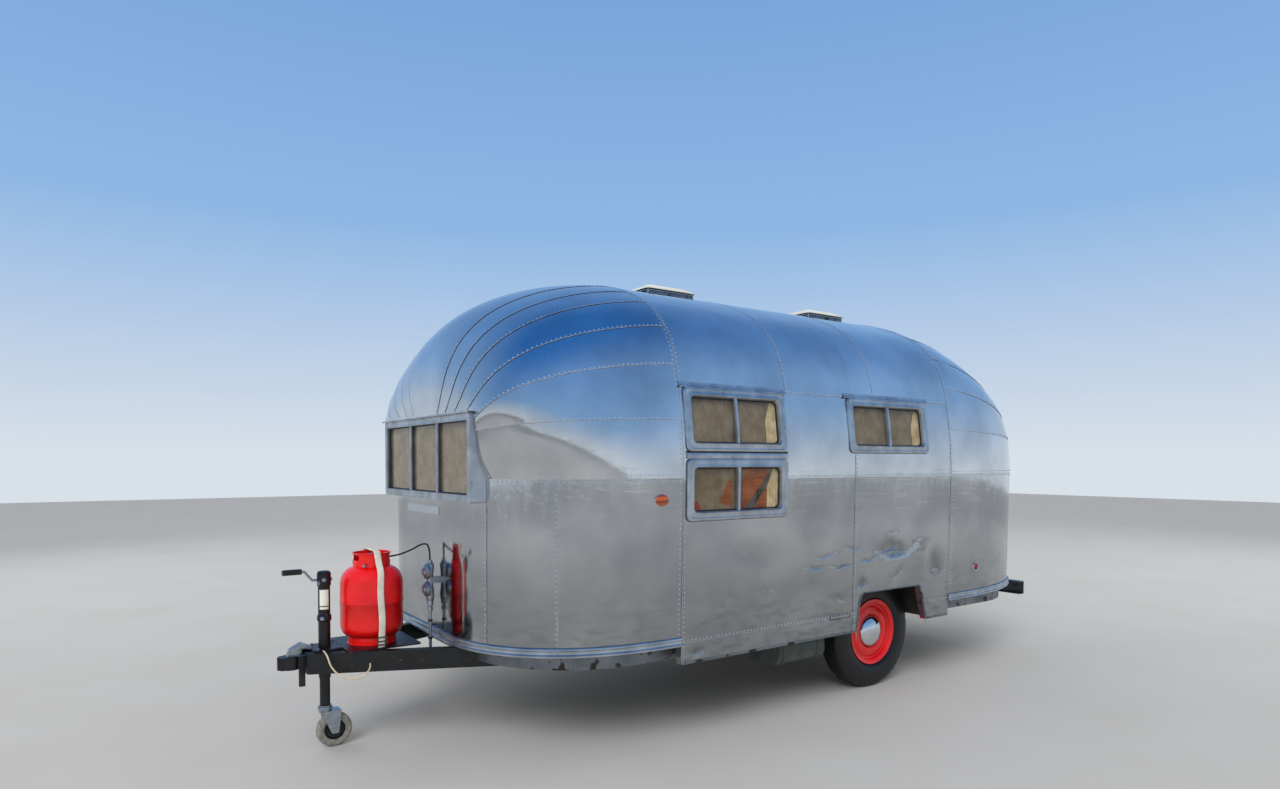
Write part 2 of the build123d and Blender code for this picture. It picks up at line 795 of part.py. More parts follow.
jockey_r = 86
jockey_w = 44
jockey_trail = 42
jockey_edge_r = 10
jockey_pin_r = 7
pin_gap = 0.05
fork_gap = 0.5
fork_plate_z = jockey_r + 92
fork_plate_t = 8
fork_head_r = 30
fork_cheek_t = 6
fork_cheek_gap = 5
fork_plate_over = 24
fork_plate_long = 96
fork_plate_corner_r = 12
pin_over = 16
cheek_outline = ((-26, 98), (jockey_trail - 16, -16), (jockey_trail + 16, -16), (jockey_trail + 30, 98))
with BuildPart() as fork:
    with BuildSketch(Plane.XY.offset(fork_plate_z)):
        with Locations((0, jack_y)):
            Circle(fork_head_r)
    extrude(amount=leg_low_z - fork_gap - fork_plate_z)
    with BuildSketch(Plane.XY.offset(fork_plate_z)):
        with Locations((0, jack_y + jockey_trail / 2)):
            RectangleRounded(jockey_w + fork_plate_over, fork_plate_long, fork_plate_corner_r)
    extrude(amount=fork_plate_t)
    for side in (-1, 1):
        cheek_x = side * (jockey_w / 2 + fork_cheek_gap + fork_cheek_t / 2)
        with BuildSketch(Plane.YZ.offset(cheek_x - fork_cheek_t / 2)):
            with Locations((jack_y, jockey_r)):
                Polygon(*cheek_outline, align=None)
        extrude(amount=fork_cheek_t)
    pin_half = jockey_w / 2 + pin_over
    with BuildSketch(Plane.YZ.offset(-pin_half)):
        with Locations((jack_y + jockey_trail, jockey_r)):
            Circle(jockey_pin_r)
    extrude(amount=2 * pin_half)
save(fork, "jack_fork")

with BuildPart() as jockey:
    with BuildSketch(Plane.YZ.offset(-jockey_w / 2)):
        with Locations((jack_y + jockey_trail, jockey_r)):
            Circle(jockey_r)
            Circle(jockey_pin_r + pin_gap, mode=Mode.SUBTRACT)
    extrude(amount=jockey_w)
    rounded = edges().filter_by(GeomType.CIRCLE).filter_by(lambda edge: edge.radius > jockey_r / 2)
    fillet(rounded, jockey_edge_r)
save(jockey, "jockey_wheel")

# Gas bottle on its tray: body, foot ring, collar with hand holes, and the valve inside
bottle_y = from_axle(-2885)
bottle_r = 155
tray_size = (390, 360)
tray_t = 6
tray_back = 15
tray_corner_r = 20
foot_z = bar_top_z + tray_t
with BuildPart() as tray:
    with BuildSketch(Plane.XY.offset(bar_top_z)):
        with Locations((0, bottle_y + tray_back)):
            RectangleRounded(tray_size[0], tray_size[1], tray_corner_r)
    extrude(amount=tray_t)
save(tray, "gas_tray")

bottle_profile = (
    (0, 40),
    (80, 44),
    (128, 62),
    (150, 96),
    (bottle_r, 140),
    (bottle_r, 300),
    (150, 338),
    (126, 372),
    (84, 392),
    (0, 398),
)
foot_ring = (118, 60)
collar_ring = (92, 464)
ring_t = 3
collar_foot = 386
hand_hole = (110, 34)
hand_hole_z = 440
valve_r = 14
valve_high = 448
outlet_r = 9
outlet_z = 430
outlet_long = 40
with BuildPart() as gas_bottle:
    with BuildSketch(Plane.XZ.offset(-bottle_y)):
        with Locations((0, foot_z)):
            Polygon(*bottle_profile, align=None)
    revolve(axis=Axis((0, bottle_y, 0), (0, 0, 1)))
    for (radius, top), base in ((foot_ring, 0), (collar_ring, collar_foot)):
        with BuildSketch(Plane.XY.offset(foot_z + base)):
            with Locations((0, bottle_y)):
                Circle(radius)
                Circle(radius - ring_t, mode=Mode.SUBTRACT)
        extrude(amount=top - base)
    for way in (-1, 1):
        with Locations((0, bottle_y + way * collar_ring[0], foot_z + hand_hole_z)):
            Box(hand_hole[0], collar_ring[0] / 2, hand_hole[1], mode=Mode.SUBTRACT)
    with BuildSketch(Plane.XY.offset(foot_z + collar_foot)):
        with Locations((0, bottle_y)):
            Circle(valve_r)
    extrude(amount=valve_high - collar_foot)
    with BuildSketch(Plane.XZ.offset(-bottle_y)):
        with Locations((0, foot_z + outlet_z)):
            Circle(outlet_r)
    extrude(amount=-outlet_long)
save(gas_bottle, "gas_bottle")

# The strap goes over the collar and down both sides to the tray
strap_w = 32
strap_t = 4
strap_lean = 8
strap_line = ((170, 0), (162, 300), (158, 350), (130, 385), (97, 470))
strap_top = strap_line[-1][1]
with BuildPart() as strap:
    with BuildSketch(Plane.XZ.offset(-(bottle_y - strap_w / 2))):
        with Locations((0, foot_z)):
            outside = [(x, z) for x, z in strap_line] + [(0, strap_top)]
            inside = [(0, strap_top - strap_t)] + [(x - strap_t, z - strap_t / strap_lean * (z > 0)) for x, z in strap_line[::-1]]
            Polygon(*(outside + inside), align=None)
            Polygon(*[(-x, z) for x, z in (outside + inside)[::-1]], align=None)
    extrude(amount=-strap_w)
save(strap, "bottle_strap")

# Gas regulator on the nose: a body with two caps, a bracket and the pipe down to the floor
regulator_x = 165
regulator_y = nose_y - 40
pipe_r = 8
pipe_low_z = 440
body_r = 21
body_low_z = 715
regulator_top_z = 925
cap_r = 40
cap_t = 34
cap_heights = (775, 865)
bracket_half = 18
bracket_z = (805, 835)
with BuildPart() as regulator:
    for radius, low, high in ((pipe_r, pipe_low_z, body_low_z), (body_r, body_low_z, regulator_top_z)):
        with BuildSketch(Plane.XY.offset(low)):
            with Locations((regulator_x, regulator_y)):
                Circle(radius)
        extrude(amount=high - low)
    for z in cap_heights:
        with BuildSketch(Plane.XZ.offset(-(regulator_y - body_r - cap_t / 2))):
            with Locations((regulator_x, z)):
                Circle(cap_r)
        extrude(amount=-cap_t)
    bracket_low = (regulator_x - bracket_half, regulator_y, bracket_z[0])
    bracket_high = (regulator_x + bracket_half, nose_y, bracket_z[1])
    add(slab(bracket_low, bracket_high))
save(regulator, "gas_regulator")

# Cords: straight runs joined by arcs that take this share of the shorter run
bend_share = 0.45


def cord(label, points, diameter):
    runs = [math.dist(a, b) for a, b in zip(points, points[1:])]
    radii = []
    for i in range(1, len(points) - 1):
        before = [q - p for p, q in zip(points[i - 1], points[i])]
        after = [q - p for p, q in zip(points[i], points[i + 1])]
        cosine = sum(p * q for p, q in zip(before, after)) / (runs[i - 1] * runs[i])
        half_turn = math.acos(cosine) / 2
        radii.append(bend_share * min(runs[i - 1], runs[i]) / math.tan(half_turn))
    with BuildPart() as piece:
        with BuildLine() as route:
            FilletPolyline(*points, radius=radii)
        with BuildSketch(Plane(origin=route.line @ 0, z_dir=route.line % 0)):
            Circle(diameter / 2)
        sweep()
    section = math.pi * diameter**2 / 4
    long = sum(edge.length for edge in route.line.edges())
    print(label, "radii", [round(radius, 1) for radius in radii])
    print(label, "length", round(long, 1))
    print(label, "volume share", round(piece.part.volume / section / long, 4))
    save(piece, label)


# The hose leaves the valve through the collar's rear hand hole and drops into the regulator
hose_d = 9
hose_start = (0, bottle_y + outlet_long, foot_z + outlet_z)
hose_steps = ((0, 85, 0), (60, 70, 37), (50, 35, 34), (regulator_x - 110, 0, -4))
hose_points = [hose_start]
for step in hose_steps:
    hose_points.append(tuple(p + q for p, q in zip(hose_points[-1], step)))
hose_points[-1] = (regulator_x, regulator_y, hose_points[-1][2])
hose_points.append((regulator_x, regulator_y, regulator_top_z))
cord("gas_hose", hose_points, hose_d)

# The supply cable hangs in a loop beside the drawbar, from the jack's flange to the left rail
cable_d = 8
cable_gap = 3
cable_end_behind = 165
cable_end_y = jack_y + cable_end_behind
rail_slope = (bar_end_x - bar_start_x) / (bar_end_y - bar_start_y)
cable_end_x = bar_start_x + bar_w + rail_slope * (cable_end_y - bar_start_y) + cable_gap
cable_start_ahead = 25
cable_start = (flange_size[0] / 2, jack_y - cable_start_ahead, bar_top_z + flange_t / 2)
cable_out = ((66, 0, 0), (88, 12, -62), (98, 56, -116))
cable_back = ((42, -62, -122), (48, -10, -78), (0, 0, -64))
cable_points = [cable_start]
for step in cable_out:
    cable_points.append(tuple(p + q for p, q in zip(cable_start, step)))
for step in cable_back:
    cable_points.append((cable_end_x + step[0], cable_end_y + step[1], cable_start[2] + step[2]))
cord("supply_cable", cable_points, cable_d)

# Roof vents: a curb in the roof and a hinged pyramid lid each
vent_gap = 5
lid_half = vent_half + 14
lid_t = 34
lid_taper = 58
lid_wall = 3
lid_corner_r = 24
with BuildPart() as curbs:
    for _, vent_y in vent_table:
        with Locations((0, from_axle(vent_y), vent_curb_z - (vent_curb_high + vent_curb_deep) / 2)):
            Box(2 * vent_half, 2 * vent_half, vent_curb_high + vent_curb_deep)
            hollow_half = vent_half - vent_curb_t
            Box(2 * hollow_half, 2 * hollow_half, 4 * vent_curb_deep, mode=Mode.SUBTRACT)
save(curbs, "vent_curbs")
for name, vent_y in vent_table:
    with BuildPart() as lid:
        for wall, mode in ((0, Mode.ADD), (lid_wall, Mode.SUBTRACT)):
            with BuildSketch(Plane.XY.offset(vent_curb_z + vent_gap)):
                with Locations((0, from_axle(vent_y))):
                    RectangleRounded(2 * (lid_half - wall), 2 * (lid_half - wall), lid_corner_r - wall)
            extrude(amount=lid_t - wall, taper=lid_taper, mode=mode)
    save(lid, "vent_lid_" + name)

# Lamps: an oval marker on each front quarter, a round one on each rear quarter and on the tail
marker_y = front_ring_y - 130
marker_z = 1247
marker_half = (38, 27)
marker_proud = 14
quarter_behind = 315
quarter_y = rear_ring_y + quarter_behind
quarter_r = 30
quarter_proud = 12
tail_lamp_x = 600
tail_lamp_r = 45
tail_lamp_proud = 5
tail_lamp_deep = 120
lamp_z = 720
with BuildPart() as markers:
    for side in (-1, 1):
        with BuildSketch(Plane.YZ.offset(side * (half_width - wall_t))):
            with Locations((marker_y, marker_z)):
                Ellipse(*marker_half)
        extrude(amount=side * (wall_t + marker_proud))
    add(end_body("front", 0, False), mode=Mode.SUBTRACT)
save(markers, "marker_lamps")

with BuildPart() as tails:
    for side in (-1, 1):
        with BuildSketch(Plane.YZ.offset(side * (skirt_half_width - wall_t))):
            with Locations((quarter_y, lamp_z)):
                Circle(quarter_r)
        extrude(amount=side * (wall_t + quarter_proud))
        with BuildSketch(Plane.XZ.offset(-(tail_y + tail_lamp_proud))):
            with Locations((side * tail_lamp_x, lamp_z)):
                Circle(tail_lamp_r)
        extrude(amount=tail_lamp_deep)
    add(end_body("rear", 0, False), mode=Mode.SUBTRACT)
save(tails, "tail_lamps")

# Rear bumper: a channel open towards the body, on two brackets
bumper_inset = 265
bumper_half = skirt_half_width - bumper_inset
bumper_high = 100
bumper_z = 440
bumper_t = 5
bracket_x = 400
bracket_w = 50
bracket_high = 60
bracket_in = 60
with BuildPart() as bumper:
    bumper_low = bumper_z - bumper_high / 2
    bumper_top = bumper_z + bumper_high / 2
    front_y = bumper_back_y - bumper_depth
    add(slab((-bumper_half, front_y, bumper_low), (bumper_half, bumper_back_y, bumper_top)))
    hollow_back = bumper_back_y - bumper_t
    add(
        slab((-reach, front_y - bumper_t, bumper_low + bumper_t), (reach, hollow_back, bumper_top - bumper_t)),
        mode=Mode.SUBTRACT,
    )
    for side in (-1, 1):
        bracket_y = (tail_y - bracket_in + hollow_back) / 2
        with Locations((side * bracket_x, bracket_y, bumper_z)):
            Box(bracket_w, hollow_back - tail_y + bracket_in, bracket_high)
    add(floor.part, mode=Mode.SUBTRACT)
save(bumper, "rear_bumper")

# Water tank slung under the floor ahead of the left wheel, by two straps
tank_size = (300, 370, 150)
tank_inset = 115
tank_x = skirt_half_width - tank_inset - tank_size[0] / 2
tank_ahead = 335
tank_y = from_axle(arch_front - tank_ahead)
tank_z = 345
tank_corner_r = 55
tank_strap_w = 25
tank_strap_t = 3
tank_strap_y = 140
with BuildPart() as tank:
    with BuildSketch(Plane.XZ.offset(-(tank_y - tank_size[1] / 2))):
        with Locations((tank_x, tank_z)):
            RectangleRounded(tank_size[0], tank_size[2], tank_corner_r)
    extrude(amount=-tank_size[1])
    for way in (-1, 1):
        with BuildSketch(Plane.XZ.offset(-(tank_y + way * tank_strap_y - tank_strap_w / 2))):
            with Locations((tank_x, tank_z)):
                RectangleRounded(
                    tank_size[0] + 2 * tank_strap_t, tank_size[2] + 2 * tank_strap_t, tank_corner_r
                )
        extrude(amount=-tank_strap_w)
        for edge_x in (-1, 1):
            hanger_x = tank_x + edge_x * (tank_size[0] / 2 - tank_corner_r)
            hanger_base = tank_z + tank_size[2] / 2
            with Locations((hanger_x, tank_y + way * tank_strap_y, (hanger_base + belly_low_z) / 2)):
                Box(tank_strap_w, tank_strap_w, belly_low_z - hanger_base)
save(tank, "water_tank")

placed = {
    "axle_y": axle_y,
    "wheel_x": wheel_x,
    "jack_y": jack_y,
    "nose_y": nose_y,
    "tail_y": tail_y,
    "rings": (front_ring_y, rear_ring_y),
    "roof_z": roof_z,
    "socket": (socket_y, coupler_z, ball_r + ball_gap),
    "door_hinge": (hinge_x, hinge_y),
    "lid_hinge_z": vent_curb_z + vent_gap,
    "lid_half": lid_half,
    "hose": [tuple(round(value, 2) for value in point) for point in hose_points],
    "cable": [tuple(round(value, 2) for value in point) for point in cable_points],
}
for name, value in placed.items():
    print(name, value)
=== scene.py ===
import bmesh
import bpy
import math
import numpy as np
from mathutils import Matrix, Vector, geometry


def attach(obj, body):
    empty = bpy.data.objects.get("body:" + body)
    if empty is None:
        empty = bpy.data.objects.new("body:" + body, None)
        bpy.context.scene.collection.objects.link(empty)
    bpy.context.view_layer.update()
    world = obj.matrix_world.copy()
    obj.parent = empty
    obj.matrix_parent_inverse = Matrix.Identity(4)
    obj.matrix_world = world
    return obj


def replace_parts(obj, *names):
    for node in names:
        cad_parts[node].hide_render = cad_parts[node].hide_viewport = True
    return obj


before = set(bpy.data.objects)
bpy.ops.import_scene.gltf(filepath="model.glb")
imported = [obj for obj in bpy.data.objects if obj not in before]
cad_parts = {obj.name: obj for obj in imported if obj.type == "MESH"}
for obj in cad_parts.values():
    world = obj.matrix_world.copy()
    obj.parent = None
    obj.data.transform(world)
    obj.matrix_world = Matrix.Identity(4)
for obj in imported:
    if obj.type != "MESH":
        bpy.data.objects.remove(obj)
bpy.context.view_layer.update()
mm = 0.001
axleY, axleZ = 695.0, 350.0


def hexLinear(code):  # sRGB hex to linear light
    parts = [int(code[i : i + 2], 16) / 255 for i in (1, 3, 5)]
    return [p / 12.92 if p <= 0.04045 else ((p + 0.055) / 1.055) ** 2.4 for p in parts] + [1.0]


# One node with its settings and links: an input takes a number, a hex colour or another node's
# output, and the output asked for is handed back
def addNode(tree, kind, inputs, output=0, **settings):
    node = tree.nodes.new("ShaderNode" + kind)
    for key, value in settings.items():
        setattr(node, key, value)
    for key, value in inputs.items():
        if isinstance(value, bpy.types.NodeSocket):
            tree.links.new(value, node.inputs[key])
        else:
            node.inputs[key].default_value = hexLinear(value) if isinstance(value, str) else value
    return node.outputs[output] if len(node.outputs) else None


def startFinish(name):  # an empty material, its tree and its object coordinates in metres
    material = bpy.data.materials.new(name)
    material.use_nodes = True
    tree = material.node_tree
    tree.nodes.clear()
    return material, tree, addNode(tree, "TexCoord", {}, "Object")


def cloud(tree, place, size, detail=4.0, stretch=(1.0, 1.0, 1.0)):  # blotches size mm across
    place = addNode(tree, "Mapping", {"Vector": place, "Scale": stretch})
    return addNode(tree, "TexNoise", {"Vector": place, "Scale": 1000 / size, "Detail": detail})


# One finish from a dictionary: base colour with cloudy change (blotch mm), specks or rust where a
# second noise passes a limit (speckSize mm), fine grain (grain mm) in the roughness and as bump
def makeFinish(name, look):
    material, tree, place = startFinish(name)
    stretch = look.get("stretch", (1.0, 1.0, 1.0))
    grain = cloud(tree, place, look["grain"], 2.0, stretch)
    share = addNode(tree, "MapRange", {0: cloud(tree, place, look["blotch"], 5.0, stretch), 1: 0.36, 2: 0.66})
    colour = addNode(tree, "Mix", {0: share, 6: look["colour"], 7: look["second"]}, 2, data_type="RGBA")
    rough = addNode(tree, "MapRange", {0: grain, 1: 0.3, 2: 0.7, 3: look["rough"][0], 4: look["rough"][1]})
    if "speck" in look:
        patches = cloud(tree, place, look["speckSize"], 6.0)
        share = addNode(tree, "MapRange", {0: patches, 1: look["speckFrom"], 2: look["speckFrom"] + 0.08})
        colour = addNode(tree, "Mix", {0: share, 6: colour, 7: look["speck"]}, 2, data_type="RGBA")
        rough = addNode(tree, "Math", {0: share, 1: 0.35, 2: rough}, operation="MULTIPLY_ADD")
    bump = addNode(tree, "Bump", {"Distance": look["relief"] * mm, "Strength": 0.8, "Height": grain})
    shader = addNode(tree, "BsdfPrincipled", {
        "Base Color": colour, "Roughness": rough, "Normal": bump, "Metallic": look.get("metallic", 0.0),
        "Coat Weight": look.get("coat", 0.0), "Coat Roughness": 0.06,
    })
    addNode(tree, "OutputMaterial", {"Surface": shader})
    return material


looks = {
    # extruded and etched aluminium of the window frames: satin, slightly cloudy with oxide
    "satinAluminium": dict(slot="satin_aluminium", colour="#C6CBCF", second="#A7ACB1", blotch=90, grain=2.5,
                           rough=(0.32, 0.5), relief=0.05, metallic=1.0, speck="#85888A", speckSize=30,
                           speckFrom=0.68),
    # brush-painted black steel of the drawbar: glossy where thick, brown rust where chipped
    "blackPaintedSteel": dict(slot="black_paint", colour="#08090A", second="#111213", blotch=60, grain=3.0,
                              rough=(0.3, 0.5), relief=0.25, speck="#5A4030", speckSize=22, speckFrom=0.66),
    # galvanised steel of springs and axle: dull grey with brown road dirt
    "dirtySteel": dict(slot="steel", colour="#3E3D3B", second="#55504A", blotch=70, grain=4.0,
                       rough=(0.55, 0.8), relief=0.5, metallic=0.35, speck="#5E4330", speckSize=35,
                       speckFrom=0.58),
    # zinc-plated pressings of jack fork, crank and coupler latch: pale blue-grey crystals
    "zincPlatedSteel": dict(slot="steel", colour="#B9BEC2", second="#9BA1A6", blotch=14, grain=2.0,
                            rough=(0.3, 0.5), relief=0.08, metallic=1.0, speck="#8A7458", speckSize=18,
                            speckFrom=0.68),
    # red synthetic enamel of wheels and gas bottle: deep gloss with fine orange peel
    "redEnamelSteel": dict(slot="red_paint", colour="#E3110C", second="#CC0B09", blotch=160, grain=5.0,
                           rough=(0.2, 0.34), relief=0.12, coat=0.15, speck="#8E0F0C", speckSize=12,
                           speckFrom=0.74),
    # chromium over pressed steel: mirror with faint haze
    "chromePlate": dict(slot="chrome_cap", colour="#DDE0E2", second="#CACED2", blotch=120, grain=8.0,
                        rough=(0.04, 0.12), relief=0.02, metallic=1.0),
    # cast solid rubber of the jack wheel: chalky grey tread
    "greyCastRubber": dict(slot="jockey_rubber", colour="#8D8A83", second="#6F6C66", blotch=25, grain=3.0,
                           rough=(0.7, 0.9), relief=0.4, speck="#4A4845", speckSize=12, speckFrom=0.6),
    # moulded black tyre rubber, weathered brown-grey
    "mouldedTyreRubber": dict(slot="tyre_rubber", colour="#090909", second="#121211", blotch=45, grain=2.5,
                              rough=(0.38, 0.6), relief=0.2, speck="#35322D", speckSize=40, speckFrom=0.7),
    # white moulded plastic of the roof vents and the label, yellowed by sun
    "sunYellowedPlastic": dict(slot="vent_white", colour="#E6E5DE", second="#D6D3C4", blotch=110, grain=3.0,
                               rough=(0.35, 0.5), relief=0.08, speck="#BDB9A8", speckSize=30, speckFrom=0.68),
    # rolled aluminium belly sheet and bumper, dull and road-stained
    "dullAluminium": dict(slot="satin_aluminium", colour="#8F9396", second="#73777A", blotch=180, grain=5.0,
                          rough=(0.38, 0.6), relief=0.3, metallic=1.0, speck="#5F5A50", speckSize=60,
                          speckFrom=0.56),
    # woven polyester strap, off-white, 1.2 mm threads drawn as 3 mm so that they show
    "wovenPolyester": dict(slot="white_web", colour="#D9D6CC", second="#C9C5B8", blotch=30, grain=3.0,
                           rough=(0.75, 0.9), relief=0.5),
    # black extruded rubber of hoses and window seals
    "blackExtrudedRubber": dict(slot="hose_rubber", colour="#161616", second="#222222", blotch=30, grain=2.0,
                                rough=(0.45, 0.65), relief=0.1),
    # driven aluminium rivets, unpolished: they catch the light as pale dots
    "drivenAluminium": dict(slot="polished_aluminium", colour="#F4F6F8", second="#DDE0E3", blotch=40,
                            grain=3.0, rough=(0.28, 0.42), relief=0.04, metallic=1.0),
    # pressed aluminium of the blank nameplate: even and pale, with no marks
    "pressedAluminium": dict(slot="satin_aluminium", colour="#D3D7DA", second="#CBCFD3", blotch=300,
                             grain=8.0, rough=(0.32, 0.4), relief=0.02, metallic=1.0),
    # dyed cotton cover, red faded to brick
    "dyedCotton": dict(slot="red_paint", colour="#B24238", second="#933028", blotch=40, grain=3.0,
                       rough=(0.8, 0.95), relief=0.5),
    # old sealant and dirt in the laps of the sheets
    "seamSealant": dict(slot="black_paint", colour="#A3A8AC", second="#7C8185", blotch=50, grain=3.0,
                        rough=(0.5, 0.7), relief=0.1),
    # cream pvc of the supply cable
    "creamCablePlastic": dict(slot="cable_cream", colour="#CFC5A8", second="#B9AE8E", blotch=30, grain=2.0,
                              rough=(0.4, 0.6), relief=0.1),
    # varnished plywood of the cabinet
    "varnishedPly": dict(slot="floor_board", colour="#B0683A", second="#8E4E28", blotch=60, grain=3.0,
                         rough=(0.35, 0.55), relief=0.1, stretch=(6.0, 0.6, 6.0)),
    # grey-green painted steel of the tank under the floor, chalked, with orange rust
    "chalkedTankPaint": dict(slot="black_paint", colour="#4E5654", second="#3E4543", blotch=60, grain=4.0,
                             rough=(0.5, 0.7), relief=0.3, speck="#8C4A22", speckSize=45, speckFrom=0.63),
}
finishes = {name: makeFinish(name, look) for name, look in looks.items()}
slots = {name: look["slot"] for name, look in looks.items()}
slots |= {"polishedAluminium": "polished_aluminium", "amberLens": "amber_lens", "redLens": "red_lens"}
slots["wovenCottonCurtain"] = "white_web"

# Dents and creases of the left side, in mm: y, z, half lengths, depth and tilt in radians
marks = (
    (365, 714, 85, 55, 9.0, 0.3), (160, 640, 90, 50, 5.0, 0.0), (640, 905, 230, 85, 15.0, -0.1),
    (880, 850, 190, 110, -9.0, 0.3), (1080, 800, 130, 120, 9.0, 0.0), (-500, 960, 300, 120, 4.0, 0.0),
    (-760, 640, 230, 100, -5.0, 0.1), (-880, 480, 110, 45, 7.0, 0.0), (-36, 833, 150, 17, 4.5, 0.0),
    (194, 829, 130, 16, 5.0, -0.03), (415, 853, 135, 17, 5.0, 0.24), (649, 913, 150, 18, 5.0, 0.26),
    (60, 905, 150, 22, 4.0, 0.06), (270, 930, 120, 20, 4.0, -0.05), (-420, 760, 160, 30, 2.5, 0.1),
    (60, 545, 330, 40, 4.0, 0.0), (620, 990, 120, 26, 5.0, 0.15), (700, 760, 160, 40, 5.0, 0.5),
)


# Sum of smooth hollows in mm, on the left side only. Noise moves the place by up to 45 mm either
# way, which bends the hollows' edges
def dentHeight(tree, place):
    bend = addNode(tree, "TexNoise", {"Vector": place, "Scale": 7.0, "Detail": 3.0}, "Color")
    bend = addNode(tree, "VectorMath", {0: bend, 1: (0.0, 0.09, 0.09), 2: (0.0, -0.045, -0.045)},
                   operation="MULTIPLY_ADD")
    bent = addNode(tree, "VectorMath", {0: place, 1: bend}, operation="ADD")
    total = 0.0
    for y, z, long, high, deep, tilt in marks:
        near = addNode(tree, "Mapping", {
            "Vector": bent, "Location": (0, y * mm, z * mm), "Rotation": (tilt, 0, 0),
            "Scale": (1000.0, long * mm, high * mm),
        }, vector_type="TEXTURE")
        away = addNode(tree, "VectorMath", {0: near}, "Value", operation="LENGTH")
        hollow = addNode(tree, "MapRange", {0: away, 3: -deep, 4: 0.0}, interpolation_type="SMOOTHSTEP")
        total = addNode(tree, "Math", {0: total, 1: hollow}, operation="ADD")
    across = addNode(tree, "SeparateXYZ", {0: place})
    left = addNode(tree, "Math", {0: across, 1: 0.0}, operation="GREATER_THAN")
    return addNode(tree, "Math", {0: total, 1: left}, operation="MULTIPLY")


# Rolled aluminium sheet, machine polished to a mirror and then weathered. The eye sees cloudy haze,
# faint polishing streaks, sheets a shade apart (the tone attribute) and slow waves in the skin. Painted
# shade darkens the walls low down and in the dents
skinLook = {
    "colour": "#DEE1E4", "haze": "#BBC0C5", "stain": "#8B8D8C", "hazeSize": 420, "streakSize": 38,
    "rough": (0.05, 0.14), "lowShade": 0.57,  # painted shade low on the walls, for the darker ground they reflect
    "waveSize": 330, "waveHeight": 2.4, "rippleSize": 80, "rippleHeight": 0.3,
}


def polishedAluminium(look):
    material, tree, place = startFinish("polishedAluminium")
    haze = addNode(tree, "MapRange", {0: cloud(tree, place, look["hazeSize"], 6.0), 1: 0.35, 2: 0.7})
    colour = addNode(tree, "Mix", {0: haze, 6: look["colour"], 7: look["haze"]}, 2, data_type="RGBA")
    height = addNode(tree, "SeparateXYZ", {0: place}, 2)
    low = addNode(tree, "MapRange", {0: height, 1: 0.85, 2: 0.42})
    spots = cloud(tree, place, 55, 8.0, (0.5, 0.5, 1.6))
    dirt = addNode(tree, "MapRange", {0: spots, 1: 0.46, 2: 0.7, 4: 0.6})
    dirt = addNode(tree, "Math", {0: low, 1: dirt}, operation="MULTIPLY")
    colour = addNode(tree, "Mix", {0: dirt, 6: colour, 7: look["stain"]}, 2, data_type="RGBA")
    hollows = dentHeight(tree, place)
    tone = addNode(tree, "Attribute", {}, "Fac", attribute_name="tone")
    # Painted shade: the colour darkens from 1.36 m down to 0.75 m, for the darker ground reflected low on the
    # walls
    paintedLowShade = addNode(tree, "MapRange", {0: height, 1: 0.75, 2: 1.36, 3: look["lowShade"]})
    # Painted shade in the dents and creases: down to 0.62 of the colour where a hollow is 9 mm deep
    shade = addNode(tree, "MapRange", {0: hollows, 1: -9.0, 2: 0.0, 3: 0.62})
    # The sheets' tone is multiplied by both painted shades
    for share in (paintedLowShade, shade):
        tone = addNode(tree, "Math", {0: tone, 1: share}, operation="MULTIPLY")
    colour = addNode(tree, "Mix", {0: 1.0, 6: colour, 7: tone}, 2, data_type="RGBA", blend_type="MULTIPLY")
    streak = cloud(tree, place, look["streakSize"], 4.0, (1.0, 1.0, 0.16))
    rough = addNode(tree, "MapRange", {0: streak, 1: 0.3, 2: 0.75, 3: look["rough"][0], 4: look["rough"][1]})
    rough = addNode(tree, "Math", {0: dirt, 1: 0.22, 2: rough}, operation="MULTIPLY_ADD")
    scratch = cloud(tree, place, 16, 5.0, (1.0, 0.06, 1.0))
    scratch = addNode(tree, "MapRange", {0: scratch, 1: 0.56, 2: 0.74, 4: 0.16})
    rough = addNode(tree, "Math", {0: rough, 1: scratch}, operation="ADD")
    waves = cloud(tree, place, look["waveSize"], 1.5)
    ripples = cloud(tree, place, look["rippleSize"], 2.0)
    bump = addNode(tree, "Bump", {"Distance": look["waveHeight"] * mm, "Strength": 1.0, "Height": waves})
    for relief, deep in ((hollows, mm), (ripples, look["rippleHeight"] * mm)):
        bump = addNode(tree, "Bump", {"Distance": deep, "Strength": 1.0, "Height": relief, "Normal": bump})
    shader = addNode(tree, "BsdfPrincipled", {
        "Metallic": 1.0, "Base Color": colour, "Roughness": rough, "Normal": bump,
    })
    addNode(tree, "OutputMaterial", {"Surface": shader})
    return material


# Float glass, 4 mm: clear, a little warm, with a film of dust. It mirrors by Fresnel on its outer
# faces only
def floatGlass():
    material, tree, place = startFinish("floatGlass")
    dust = cloud(tree, place, 60, 5.0)
    rough = addNode(tree, "MapRange", {0: dust, 1: 0.35, 2: 0.75, 3: 0.01, 4: 0.09})
    film = addNode(tree, "MapRange", {0: dust, 1: 0.3, 2: 0.8})
    colour = addNode(tree, "Mix", {0: film, 6: "#FAF8F4", 7: "#E9E4DC"}, 2, data_type="RGBA")
    clear = addNode(tree, "BsdfTransparent", {"Color": colour})
    gloss = addNode(tree, "BsdfPrincipled", {"Metallic": 1.0, "Base Color": colour, "Roughness": rough})
    inside = addNode(tree, "NewGeometry", {}, "Backfacing")
    outside = addNode(tree, "Math", {0: 1.0, 1: inside}, operation="SUBTRACT")
    edge = addNode(tree, "Fresnel", {"IOR": 1.5})
    share = addNode(tree, "Math", {0: edge, 1: outside}, operation="MULTIPLY")
    both = addNode(tree, "MixShader", {0: share, 1: clear, 2: gloss})
    addNode(tree, "OutputMaterial", {"Surface": both})
    return material


